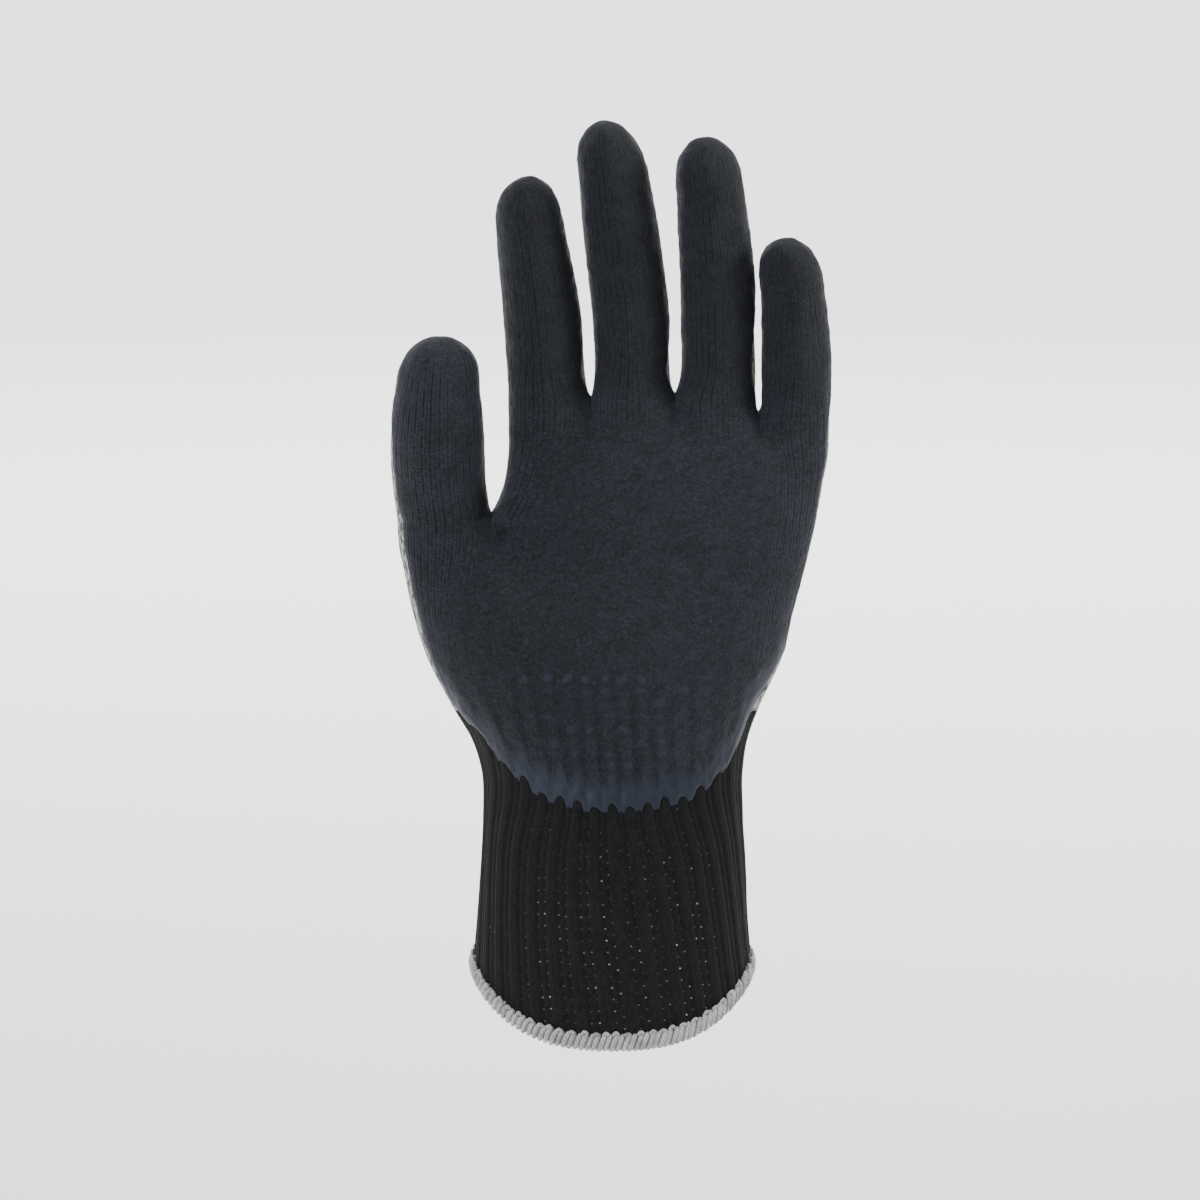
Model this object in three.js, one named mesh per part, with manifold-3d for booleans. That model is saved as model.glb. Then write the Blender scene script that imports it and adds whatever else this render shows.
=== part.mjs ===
// A coated knit work glove for the left hand, filled out as a hand fills it.
//
// The fingers point up (+Z) and the palm faces -Y, so the thumb is on the -X side. The origin is the
// middle of the wrist opening, level with the lowest point of the hem. Sizes are in millimetres.
//
// The glove is the knit palm, the five knit finger stalls that carry on from it, the ribbed knit cuff
// below the wrist, the overlocked hem round the cuff's opening, and the rubber coating that the palm
// side was dipped in.

import * as THREE from "three";
import { mergeVertices } from "three/addons/utils/BufferGeometryUtils.js";
import Module from "manifold-3d";

const wasm = await Module();
wasm.setup();

// Wall thicknesses and the clearance between two pieces
const KNIT_WALL = 1.6;
const CUFF_WALL = 2.2;
const PIECE_GAP = 0.3;
const COATING_WALL = 1.0;

// The wrist line, where the palm knit meets the ribbed cuff, and the lines where the thumb and the
// fingers leave the palm. THUMB_SIDE is a plane in the gap between the thumb and the palm.
const WRIST_Z = 92;
const THUMB_Z = 148.5;
const FINGERS_Z = 177;
const THUMB_SIDE = -31.4;

// Cuff ribs: how many stand round the cuff, and how deep the valley is between two of them
const RIB_COUNT = 32;
const RIB_DEPTH = 0.7;
const STEPS_PER_RIB = 3;

// Hem: how far in from the rib crests its middle runs, half the width and height of the stitched
// band, its stitches, and the line it follows.
// The hem is lowest at the palm, climbs towards the two edges of the wrist, and ends a little higher
// at the back, because the cuff leans back.
const HEM_INSET = 0.6;
const HEM_HALF_WIDTH = 1.9;
const HEM_HALF_HEIGHT = 2.4;
const HEM_STITCHES = 64;
const HEM_STITCH_RELIEF = 0.25;
const HEM_SIDES = 6;
const HEM_SIDE_RISE = 13;
const HEM_SIDE_SHARPNESS = 2.8;
const HEM_BACK_RISE = 6.5;

// Facets round a finger and round the palm, where a finger's rings stand as shares of its straight
// part, and the angles of the rings over its tip. The inside of the knit needs fewer than the outside.
const FACETS_OUTSIDE = {
  finger: 16,
  palm: 36,
  stations: [0, 0.34, 0.7],
  cap: [0, 32, 60],
};
const FACETS_INSIDE = {
  finger: 12,
  palm: 28,
  stations: [0, 0.4, 0.8],
  cap: [0, 34, 62],
};

// The palm and cuff, section by section: the outer faces of the knit at each height.
// square is the superellipse exponent, 2 for a true ellipse.
const BODY_SECTIONS = [
  { z: 175.6, left: -18.5, right: 51.5, front: -12.6, back: -5.8, square: 2.2 },
  { z: 173.8, left: -22.4, right: 54.2, front: -15.2, back: -3.4, square: 2.3 },
  { z: 168.5, left: -25.6, right: 56.8, front: -18.2, back: -0.6, square: 2.4 },
  { z: 160.0, left: -26.2, right: 56.8, front: -20.8, back: 2.0, square: 2.5 },
  { z: 147.0, left: -29.4, right: 54.8, front: -24.2, back: 5.0, square: 2.6 },
  { z: 138.0, left: -42.4, right: 53.0, front: -26.0, back: 6.5, square: 2.6 },
  { z: 130.0, left: -51.4, right: 51.2, front: -27.2, back: 7.4, square: 2.6 },
  { z: 118.5, left: -52.9, right: 48.3, front: -28.3, back: 8.6, square: 2.5 },
  { z: 105.3, left: -48.9, right: 45.4, front: -28.9, back: 9.8, square: 2.4 },
  { z: 92.0, left: -42.8, right: 40.2, front: -29.2, back: 11.4, square: 2.3 },
  { z: 83.3, left: -38.2, right: 37.2, front: -29.4, back: 13.0, square: 2.2 },
  { z: 74.4, left: -35.6, right: 36.0, front: -29.5, back: 14.8, square: 2.1 },
  { z: 60.4, left: -35.0, right: 36.1, front: -29.4, back: 17.2, square: 2.1 },
  { z: 46.6, left: -35.7, right: 36.8, front: -28.9, back: 19.4, square: 2.1 },
  { z: 32.6, left: -36.7, right: 37.5, front: -28.0, back: 21.4, square: 2.1 },
  { z: 18.0, left: -37.9, right: 38.6, front: -26.8, back: 23.4, square: 2.1 },
  { z: 0.0, left: -39.4, right: 39.9, front: -25.4, back: 25.4, square: 2.1 },
];

// The finger tubes. Each centreline runs from a root inside the palm, past the base and the middle,
// to the tip. Widths are across the glove, and depth is the tube's thickness over its width. dip says
// where the coating's edge runs: its depth behind the centreline at the base and at the tip, and how
// much it leans back per millimetre towards the little finger.
const FINGERS = [
  {
    name: "thumb",
    root: { x: -37.0, y: -11.0, z: 107 },
    base: { x: -45.1, y: -14.0, z: 144 },
    middle: { x: -46.2, y: -18.0, z: 169 },
    tip: { x: -44.6, y: -22.0, z: 192.1 },
    rootWidth: 24.0,
    baseWidth: 23.6,
    middleWidth: 22.4,
    tipWidth: 16.8,
    tipLength: 12.0,
    depth: 0.82,
    dip: { base: -2.5, tip: 3.0, lean: 0.22 },
  },
  {
    name: "index",
    root: { x: -14.5, y: -9.0, z: 157 },
    base: { x: -16.4, y: -9.5, z: 176 },
    middle: { x: -18.9, y: -11.0, z: 204 },
    tip: { x: -21.6, y: -16.0, z: 233.4 },
    rootWidth: 20.4,
    baseWidth: 19.2,
    middleWidth: 17.9,
    tipWidth: 14.0,
    tipLength: 12.5,
    depth: 0.87,
    dip: { base: -0.5, tip: 4.0, lean: 0 },
  },
  {
    name: "middle",
    root: { x: 6.4, y: -9.0, z: 157 },
    base: { x: 6.0, y: -9.5, z: 176 },
    middle: { x: 4.1, y: -11.0, z: 212 },
    tip: { x: -1.4, y: -16.5, z: 247.9 },
    rootWidth: 19.8,
    baseWidth: 18.6,
    middleWidth: 18.0,
    tipWidth: 14.6,
    tipLength: 13.5,
    depth: 0.87,
    dip: { base: -0.5, tip: 4.0, lean: 0 },
  },
  {
    name: "ring",
    root: { x: 27.4, y: -9.0, z: 157 },
    base: { x: 28.2, y: -9.5, z: 176 },
    middle: { x: 28.2, y: -11.0, z: 209 },
    tip: { x: 24.7, y: -16.0, z: 243.7 },
    rootWidth: 19.8,
    baseWidth: 18.6,
    middleWidth: 17.8,
    tipWidth: 14.0,
    tipLength: 12.5,
    depth: 0.87,
    dip: { base: -0.5, tip: 4.0, lean: 0 },
  },
  {
    name: "little",
    root: { x: 47.9, y: -9.0, z: 155 },
    base: { x: 49.1, y: -9.5, z: 172 },
    middle: { x: 48.3, y: -11.0, z: 196 },
    tip: { x: 46.0, y: -15.5, z: 217.4 },
    rootWidth: 17.8,
    baseWidth: 16.9,
    middleWidth: 15.9,
    tipWidth: 13.2,
    tipLength: 11.5,
    depth: 0.88,
    dip: { base: -1.5, tip: 4.0, lean: -0.1 },
  },
];

// Coating: how far back its edge lies on the palm at each height, just short of the side of the hand.
// The fingertips are dipped all round, over the length given.
const PALM_DIP = [
  { z: 50, edge: -14.0 },
  { z: 95, edge: -14.0 },
  { z: 150, edge: -12.5 },
  { z: 172, edge: -9.0 },
  { z: 190, edge: -7.0 },
];
const TIP_DIP_LENGTH = 12;

// Coating: its lower edge hangs in a bow across the wrist, with a scallop for each rib of the cuff
const EDGE_BOW = [
  { x: -52.0, z: 108.0 },
  { x: -43.5, z: 97.0 },
  { x: -35.0, z: 88.0 },
  { x: -25.2, z: 76.6 },
  { x: -16.2, z: 70.2 },
  { x: 0.0, z: 67.4 },
  { x: 13.8, z: 68.6 },
  { x: 22.3, z: 71.0 },
  { x: 30.8, z: 78.6 },
  { x: 37.6, z: 91.0 },
  { x: 46.0, z: 104.0 },
];
const SCALLOP_PITCH = 5.2;
const SCALLOP_DEPTH = 1.3;
const SCALLOP_STEPS = 2;

// Colours of the finished surfaces
const COLOURS = {
  knit: 0xa9aaa6,
  cuff: 0x1c1d1f,
  hem: 0xa7a7a5,
  coating: 0x2e333b,
};

// A number read from a table at a position, with a smooth curve through its rows
function readTable(rows, key, column, position) {
  const rising = rows[rows.length - 1][key] > rows[0][key];
  const sorted = rising ? rows : [...rows].reverse();
  const last = sorted.length - 1;
  const clamped = Math.min(Math.max(position, sorted[0][key]), sorted[last][key]);
  let i = 0;
  while (i < last - 1 && sorted[i + 1][key] < clamped) i += 1;
  const [a, b] = [sorted[i], sorted[i + 1]];
  const span = b[key] - a[key];
  const t = (clamped - a[key]) / span;
  const slope = (low, high) => (high[column] - low[column]) / (high[key] - low[key]);
  const before = sorted[Math.max(i - 1, 0)];
  const after = sorted[Math.min(i + 2, last)];
  const slopeA = slope(before, b) * span;
  const slopeB = slope(a, after) * span;
  const [t2, t3] = [t * t, t * t * t];
  return (
    (2 * t3 - 3 * t2 + 1) * a[column] +
    (t3 - 2 * t2 + t) * slopeA +
    (3 * t2 - 2 * t3) * b[column] +
    (t3 - t2) * slopeB
  );
}

// A point on a superellipse, at an angle measured from +X towards +Y
function superellipse(halfWidth, halfDepth, square, angle) {
  const power = 2 / square;
  const [c, s] = [Math.cos(angle), Math.sin(angle)];
  return {
    x: halfWidth * Math.sign(c) * Math.abs(c) ** power,
    y: halfDepth * Math.sign(s) * Math.abs(s) ** power,
  };
}

// Geometry of a closed loft: rings of points joined in order, with each end closed by a fan.
// A loft whose last ring joins its first is a closed band instead. An apex stands over the last ring.
function loftGeometry(rings, { closedBand = false, apex = null } = {}) {
  const sides = rings[0].length;
  const positions = rings.flat().flatMap((p) => [p.x, p.y, p.z]);
  const faces = [];
  const bands = closedBand ? rings.length : rings.length - 1;
  for (let r = 0; r < bands; r += 1) {
    const next = (r + 1) % rings.length;
    for (let i = 0; i < sides; i += 1) {
      const j = (i + 1) % sides;
      const [a, b] = [r * sides + i, r * sides + j];
      const [c, d] = [next * sides + j, next * sides + i];
      faces.push(a, b, c, a, c, d);
    }
  }
  if (!closedBand) {
    [
      [0, -1],
      [rings.length - 1, 1],
    ].forEach(([r, way]) => {
      const middle = rings[r]
        .reduce((sum, p) => sum.add(p), new THREE.Vector3())
        .divideScalar(sides);
      if (way > 0 && apex) middle.copy(apex);
      const hub = positions.length / 3;
      positions.push(middle.x, middle.y, middle.z);
      for (let i = 0; i < sides; i += 1) {
        const j = (i + 1) % sides;
        const [a, b] = way > 0 ? [i, j] : [j, i];
        faces.push(r * sides + a, r * sides + b, hub);
      }
    });
  }
  const geometry = new THREE.BufferGeometry();
  geometry.setAttribute("position", new THREE.Float32BufferAttribute(positions, 3));
  geometry.setIndex(faces);
  return geometry;
}

// A manifold-3d solid from a three.js geometry, turned outwards if its faces point in
function solidFrom(geometry) {
  geometry.deleteAttribute("normal");
  geometry.deleteAttribute("uv");
  const merged = mergeVertices(geometry, 1e-4);
  const index = new Uint32Array(merged.index.array);
  const build = (triVerts) =>
    new wasm.Manifold(
      new wasm.Mesh({
        numProp: 3,
        vertProperties: new Float32Array(merged.attributes.position.array),
        triVerts,
      }),
    );
  const solid = build(index);
  if (solid.volume() >= 0) return solid;
  for (let i = 0; i < index.length; i += 3) {
    [index[i + 1], index[i + 2]] = [index[i + 2], index[i + 1]];
  }
  return build(index);
}

// A three.js geometry from a manifold-3d solid
function geometryFrom(solid) {
  const mesh = solid.getMesh();
  const geometry = new THREE.BufferGeometry();
  geometry.setAttribute("position", new THREE.BufferAttribute(mesh.vertProperties, 3));
  geometry.setIndex(new THREE.BufferAttribute(mesh.triVerts, 1));
  geometry.computeVertexNormals();
  return geometry;
}

// A point on the palm or cuff at a height and an angle, its face moved out by grow. outwards is the
// level direction away from the face.
function bodyPoint(z, angle, grow) {
  const read = (column) => readTable(BODY_SECTIONS, "z", column, z);
  const halfWidth = (read("right") - read("left")) / 2 + grow;
  const halfDepth = (read("back") - read("front")) / 2 + grow;
  const p = superellipse(halfWidth, halfDepth, read("square"), angle);
  const centreX = (read("left") + read("right")) / 2;
  const centreY = (read("front") + read("back")) / 2;
  return {
    place: new THREE.Vector3(centreX + p.x, centreY + p.y, z),
    outwards: new THREE.Vector3(p.x / halfWidth ** 2, p.y / halfDepth ** 2, 0).normalize(),
  };
}

// The palm and cuff as one block between the web of the fingers and a lower level
function bodySolid(grow, lowest, facets) {
  const levels = BODY_SECTIONS.map((row) => row.z).filter((z) => z > lowest + 1);
  const angles = Array.from({ length: facets.palm }, (_, i) => (i / facets.palm) * Math.PI * 2);
  const rings = [...levels, lowest].map((z, i) => {
    const lift = i === 0 ? grow : 0;
    return angles.map((angle) => bodyPoint(z, angle, grow).place.setZ(z + lift));
  });
  return solidFrom(loftGeometry(rings));
}

// One finger tube, from inside the palm to its round tip, its face moved out by grow
function fingerSolid(finger, grow, facets) {
  const stops = [finger.root, finger.base, finger.middle, finger.tip];
  const points = stops.map((p) => new THREE.Vector3(p.x, p.y, p.z));
  const centreline = new THREE.CatmullRomCurve3(points, false, "centripetal");
  const length = centreline.getLength();
  const widths = [
    { z: finger.root.z, width: finger.rootWidth },
    { z: finger.base.z, width: finger.baseWidth },
    { z: finger.middle.z, width: finger.middleWidth },
    { z: finger.tip.z, width: finger.tipWidth },
  ];
  const shoulder = 1 - finger.tipLength / length;
  const ringAt = (share, capScale, lift) => {
    const centre = centreline.getPointAt(share);
    const along = centreline.getTangentAt(share);
    const across = new THREE.Vector3(0, 1, 0).cross(along).normalize();
    const through = along.clone().cross(across).normalize();
    const half = readTable(widths, "z", "width", centre.z) / 2;
    return Array.from({ length: facets.finger }, (_, i) => {
      const angle = (i / facets.finger) * Math.PI * 2;
      const p = superellipse(half + grow, half * finger.depth + grow, 2.15, angle);
      return centre
        .clone()
        .addScaledVector(along, lift)
        .addScaledVector(across, p.x * capScale)
        .addScaledVector(through, p.y * capScale);
    });
  };
  const rings = facets.stations.map((share) => ringAt(share * shoulder, 1, 0));
  facets.cap.forEach((degrees) => {
    const angle = THREE.MathUtils.degToRad(degrees);
    const share = shoulder + Math.sin(angle) * (1 - shoulder);
    rings.push(ringAt(share, Math.cos(angle), Math.sin(angle) * grow));
  });
  const apex = centreline.getPointAt(1).addScaledVector(centreline.getTangentAt(1), grow);
  return solidFrom(loftGeometry(rings, { apex }));
}

// The whole hand as one block, its face moved out by grow
function handBlock(grow, lowest, facets) {
  return FINGERS.reduce(
    (block, finger) => block.add(fingerSolid(finger, grow, facets)),
    bodySolid(grow, lowest, facets),
  );
}

// A block between two levels and two planes across the glove
function slab(lowX, highX, lowZ, highZ) {
  const depth = 120;
  const box = new THREE.BoxGeometry(highX - lowX, depth, highZ - lowZ);
  box.translate((lowX + highX) / 2, 0, (lowZ + highZ) / 2);
  return solidFrom(box);
}

// The knit palm: a hollow wall, open at the wrist and into each finger stall
function knitPalm() {
  const farOut = 120;
  const highest = 290;
  const outside = handBlock(0, WRIST_Z + PIECE_GAP / 2, FACETS_OUTSIDE);
  const inside = handBlock(-KNIT_WALL, WRIST_Z - 10, FACETS_INSIDE);
  return outside
    .subtract(inside)
    .subtract(slab(-farOut, farOut, FINGERS_Z - PIECE_GAP / 2, highest))
    .subtract(slab(-farOut, THUMB_SIDE, THUMB_Z - PIECE_GAP / 2, highest));
}

// One finger stall: a hollow tube with a round tip, open towards the palm
function fingerStall(finger) {
  const farOut = 120;
  const highest = 290;
  const start = (finger.name === "thumb" ? THUMB_Z : FINGERS_Z) + PIECE_GAP / 2;
  return fingerSolid(finger, 0, FACETS_OUTSIDE)
    .subtract(fingerSolid(finger, -KNIT_WALL, FACETS_INSIDE))
    .intersect(slab(-farOut, farOut, start, highest));
}

// Height of the hem's centreline at an angle round the wrist, 0 at the little finger's side
function hemHeight(angle) {
  const side = Math.abs(Math.cos(angle)) ** HEM_SIDE_SHARPNESS;
  const back = (1 + Math.sin(angle)) / 2;
  return HEM_HALF_HEIGHT + HEM_SIDE_RISE * side + HEM_BACK_RISE * back;
}

// The ribbed cuff: a ribbed tube with a plain bore, cut along the hem's line
function ribCuff() {
  const sides = RIB_COUNT * STEPS_PER_RIB;
  const top = WRIST_Z - PIECE_GAP / 2;
  const clear = HEM_HALF_HEIGHT + PIECE_GAP;
  const edge = (angle) => hemHeight(angle) + clear;
  const outerRing = (level) =>
    Array.from({ length: sides }, (_, i) => {
      const angle = (i / sides) * Math.PI * 2;
      const valley = 0.5 - 0.5 * Math.cos((i / STEPS_PER_RIB) * Math.PI * 2);
      return bodyPoint(level ?? edge(angle), angle, -valley * RIB_DEPTH).place;
    });
  const innerRing = (level) =>
    Array.from({ length: FACETS_OUTSIDE.palm }, (_, i) => {
      const angle = (i / FACETS_OUTSIDE.palm) * Math.PI * 2;
      return bodyPoint(level ?? edge(angle) - 3, angle, -CUFF_WALL).place;
    });
  const outer = [top, 83.3, 74.4, 60.4, 32.6, null].map(outerRing);
  const inner = [top + 3, 83.3, 74.4, 60.4, 32.6, null].map(innerRing);
  return solidFrom(loftGeometry(outer)).subtract(solidFrom(loftGeometry(inner)));
}

// The overlocked hem: a closed band round the opening, a low and a high step for each stitch
function overlockHem() {
  const steps = HEM_STITCHES * 2;
  const rings = Array.from({ length: steps }, (_, k) => {
    const angle = (k / steps) * Math.PI * 2;
    const { place, outwards } = bodyPoint(hemHeight(angle), angle, -HEM_INSET);
    const relief = k % 2 === 0 ? 0 : HEM_STITCH_RELIEF;
    return Array.from({ length: HEM_SIDES }, (__, i) => {
      const turn = ((i + 0.5) / HEM_SIDES) * Math.PI * 2;
      return place
        .clone()
        .addScaledVector(outwards, Math.cos(turn) * (HEM_HALF_WIDTH - relief))
        .add(new THREE.Vector3(0, 0, Math.sin(turn) * (HEM_HALF_HEIGHT - relief)));
    });
  });
  return solidFrom(loftGeometry(rings, { closedBand: true }));
}

// A block in front of a dip line, given as depth against height, and wide enough for the whole glove.
// The line leans back by so much per millimetre away from the plane x = pivot.
function dipBlock(line, lean = 0, pivot = 0) {
  const nearest = -60;
  const halfSpan = 90;
  const shape = new THREE.Shape();
  shape.moveTo(nearest, line[0].z);
  line.forEach((row) => shape.lineTo(row.edge, row.z));
  shape.lineTo(nearest, line[line.length - 1].z);
  shape.closePath();
  const geometry = new THREE.ExtrudeGeometry(shape, {
    depth: 2 * halfSpan,
    bevelEnabled: false,
  });
  // The shape lies in its own XY plane: its x is depth and its y is height.
  const upright = new THREE.Matrix4().makeBasis(
    new THREE.Vector3(0, 1, 0),
    new THREE.Vector3(0, 0, 1),
    new THREE.Vector3(1, lean, 0),
  );
  geometry.applyMatrix4(upright);
  geometry.translate(-halfSpan, -lean * (halfSpan + pivot), 0);
  return solidFrom(geometry);
}

// Everything above the coating's scalloped lower edge
function aboveEdgeBlock() {
  const [first, last] = [EDGE_BOW[0], EDGE_BOW[EDGE_BOW.length - 1]];
  const farOut = 90;
  const highest = 280;
  const halfDepth = 70;
  const shape = new THREE.Shape();
  shape.moveTo(-farOut, highest);
  shape.lineTo(-farOut, first.z);
  const steps = Math.round(((last.x - first.x) / SCALLOP_PITCH) * SCALLOP_STEPS);
  for (let k = 0; k <= steps; k += 1) {
    const x = first.x + ((last.x - first.x) * k) / steps;
    const wave = Math.abs(Math.sin((Math.PI * k) / SCALLOP_STEPS));
    shape.lineTo(x, readTable(EDGE_BOW, "x", "z", x) + SCALLOP_DEPTH * (1 - wave));
  }
  shape.lineTo(farOut, last.z);
  shape.lineTo(farOut, highest);
  shape.closePath();
  const geometry = new THREE.ExtrudeGeometry(shape, {
    depth: 2 * halfDepth,
    bevelEnabled: false,
  });
  geometry.rotateX(Math.PI / 2);
  geometry.translate(0, halfDepth, 0);
  return solidFrom(geometry);
}

// What the dip reaches of one finger: its palm side, and all of its tip
function fingerDip(finger) {
  const { root, base, middle, tip, dip } = finger;
  const slack = 30;
  const line = [
    { z: root.z - 20, edge: root.y + dip.base },
    { z: base.z, edge: base.y + dip.base },
    { z: middle.z, edge: middle.y + (dip.base + dip.tip) / 2 },
    { z: tip.z - TIP_DIP_LENGTH, edge: tip.y + dip.tip },
    { z: tip.z + slack, edge: tip.y + dip.tip },
  ];
  const box = new THREE.BoxGeometry(2 * slack, 2 * slack, slack);
  box.translate(tip.x, tip.y, tip.z - TIP_DIP_LENGTH + slack / 2);
  return dipBlock(line, dip.lean, base.x).add(solidFrom(box));
}

// The coating: a skin over the palm side of the hand and over the top of the cuff
function palmCoating() {
  const lowest = 50;
  const outerGrow = PIECE_GAP + COATING_WALL;
  let skin = bodySolid(outerGrow, lowest, FACETS_OUTSIDE).intersect(dipBlock(PALM_DIP));
  FINGERS.forEach((finger) => {
    const tube = fingerSolid(finger, outerGrow, FACETS_OUTSIDE);
    skin = skin.add(tube.intersect(fingerDip(finger)));
  });
  const underneath = handBlock(PIECE_GAP, lowest - 5, FACETS_OUTSIDE);
  return skin.intersect(aboveEdgeBlock()).subtract(underneath);
}

// A named mesh of the assembly
function piece(name, solid, colour, roughness) {
  const material = new THREE.MeshStandardMaterial({ color: colour, roughness, metalness: 0 });
  const mesh = new THREE.Mesh(geometryFrom(solid), material);
  mesh.name = name;
  return mesh;
}

const glove = new THREE.Group();
glove.add(piece("knit_palm", knitPalm(), COLOURS.knit, 0.95));
FINGERS.forEach((finger) => {
  glove.add(piece(`${finger.name}_stall`, fingerStall(finger), COLOURS.knit, 0.95));
});
glove.add(piece("rib_cuff", ribCuff(), COLOURS.cuff, 0.95));
glove.add(piece("overlock_hem", overlockHem(), COLOURS.hem, 0.9));
glove.add(piece("palm_coating", palmCoating(), COLOURS.coating, 0.6));

export default glove;
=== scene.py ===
"""A left-hand work glove of knit yarn, with a foamed rubber coating on its palm side.

The fingers point up (+Z) and the palm faces -Y. Lengths are in millimetres until a mesh is made, and
every mesh is in metres. The glove is one knit surface of columns (wales) and rows (courses). The knit
hand, the ribbed cuff and the coating are all laid on it.
"""

from __future__ import annotations

import logging
import math
from dataclasses import dataclass, field
from typing import ClassVar

import bpy
import numpy as np
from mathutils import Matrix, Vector, noise

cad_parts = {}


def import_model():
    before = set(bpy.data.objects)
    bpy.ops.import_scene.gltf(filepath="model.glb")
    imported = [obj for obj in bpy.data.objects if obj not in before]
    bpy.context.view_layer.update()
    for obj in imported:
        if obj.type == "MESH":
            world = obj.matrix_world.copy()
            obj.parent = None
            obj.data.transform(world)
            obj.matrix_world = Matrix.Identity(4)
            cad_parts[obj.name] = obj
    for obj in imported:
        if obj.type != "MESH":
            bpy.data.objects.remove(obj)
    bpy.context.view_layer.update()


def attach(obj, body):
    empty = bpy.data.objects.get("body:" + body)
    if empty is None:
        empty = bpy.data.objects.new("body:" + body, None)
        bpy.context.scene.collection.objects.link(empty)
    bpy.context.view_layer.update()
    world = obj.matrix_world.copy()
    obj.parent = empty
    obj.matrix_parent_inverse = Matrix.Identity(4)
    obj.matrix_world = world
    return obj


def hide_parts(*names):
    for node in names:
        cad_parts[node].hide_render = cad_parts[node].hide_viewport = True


log = logging.getLogger("glove")

Array = np.ndarray
Number = Array | float
Rows = tuple[tuple[float, ...], ...]
Point = tuple[float, float, float]
Colour = tuple[float, float, float, float]
Thing = bpy.types.Object
Socket = bpy.types.NodeSocket
Faces = list[list[int]]
Strand = tuple[Array, Faces, list]

MM = 0.001
PI = math.pi
UP = np.array([0.0, 0.0, 1.0])


# Numbers and curves


def ramp(start: float, end: float, value: Number) -> Array:
    """Run smoothly from 0 at start to 1 at end, whichever of the two is larger."""
    t = np.clip((np.asarray(value, float) - start) / (end - start), 0.0, 1.0)
    return t * t * (3.0 - 2.0 * t)


def blend(share: Number, a: Number, b: Number) -> Array:
    """Mix two values, a where the share is 0 and b where it is 1."""
    return a * (1 - share) + b * share


def bell(value: Number, width: float) -> Array:
    """Read a bell curve, 1 in its middle, at distances from there."""
    return np.exp(-((value / width) ** 2))


def bent(value: Array, power: Number) -> Array:
    """Raise the size of each value to a power and keep its sign."""
    return np.sign(value) * np.abs(value) ** power


def soft_max(a: Array, b: Array, width: float) -> Array:
    """Take the larger of two fields, rounded over a width where they cross."""
    return 0.5 * (a + b + np.sqrt((a - b) ** 2 + width * width))


def off_whole(value: Array) -> Array:
    """Measure how far each number lies from the nearest whole one."""
    return np.abs(np.mod(value + 0.5, 1.0) - 0.5)


def unit(vectors: Array) -> Array:
    """Bring each row to a length of 1."""
    return vectors / np.maximum(np.linalg.norm(vectors, axis=1, keepdims=True), 1e-9)


def lengths(path: Array) -> Array:
    """Measure the way along a path at each of its points."""
    return np.concatenate([[0.0], np.cumsum(np.linalg.norm(np.diff(path, axis=0), axis=1))])


def closed(row: Array) -> Array:
    """Repeat the first entry of a ring at its end."""
    return np.append(row, row[:1], 0)


def halves(columns: int) -> tuple[Array, Array]:
    """Count a ring's columns from its left side, over the front or behind, and say which are behind."""
    number = np.arange(columns)
    return np.minimum(number, columns - number), number > columns // 2


def between(low: Array, high: Array) -> Array:
    """Take the four corners of each face between two rows, which end with their closing entry."""
    return np.stack([low[:-1], low[1:], high[1:], high[:-1]], 1)


def weave(rows: list[Array], flats: list[Array]) -> tuple[Array, Array]:
    """Join rows of points that close on themselves.

    Args:
        rows: Point numbers, lowest row first, each from left to right over the front.
        flats: The pattern map of each row, wale number and height, with a closing entry.

    Returns:
        The faces, and the pattern map at their corners.
    """
    faces = [between(closed(low), closed(high)) for low, high in zip(rows, rows[1:])]
    maps = [between(low, high) for low, high in zip(flats, flats[1:])]
    return np.concatenate(faces), np.concatenate(maps)


def wander(places: Array, size: float, seed: float, octaves: int = 1) -> Array:
    """Read a smooth random field at points.

    Args:
        places: The points.
        size: The size of the field's lumps, in millimetres.
        seed: Where the field starts.
        octaves: How many finer fields are added.

    Returns:
        Values from about -1 to 1.
    """
    total = np.zeros(len(places))
    for octave in range(octaves):
        shifted = places * (2**octave / size) + seed + 17.3 * octave
        total += np.array([noise.noise(Vector(p)) for p in shifted]) / 1.7**octave
    return total


def colour(red: int, green: int, blue: int) -> Colour:
    """Turn a screen colour, 0 to 255, into the linear colour that a shader takes."""
    shares = [part / 255.0 for part in (red, green, blue)]
    return (*(s / 12.92 if s <= 0.04045 else ((s + 0.055) / 1.055) ** 2.4 for s in shares), 1.0)


@dataclass(frozen=True)
class Profile:
    """Values that change smoothly along a key, given in rows of key and values."""

    rows: Rows

    def at(self, key: Number, column: int = 1) -> Array:
        """Read one column with a smooth curve through the rows.

        Args:
            key: Where to read it.
            column: Which value of a row, counted from 1.

        Returns:
            The value at each key.
        """
        table = np.array(self.rows, float)
        keys, values = table[:, 0], table[:, column]
        slopes = np.gradient(values, keys)
        x = np.clip(np.asarray(key, float), keys[0], keys[-1])
        i = np.clip(np.searchsorted(keys, x) - 1, 0, len(keys) - 2)
        span = keys[i + 1] - keys[i]
        t = (x - keys[i]) / span
        t2, t3 = t * t, t * t * t
        return (
            (2 * t3 - 3 * t2 + 1) * values[i]
            + (t3 - 2 * t2 + t) * slopes[i] * span
            + (3 * t2 - 2 * t3) * values[i + 1]
            + (t3 - t2) * slopes[i + 1] * span
        )


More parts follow.
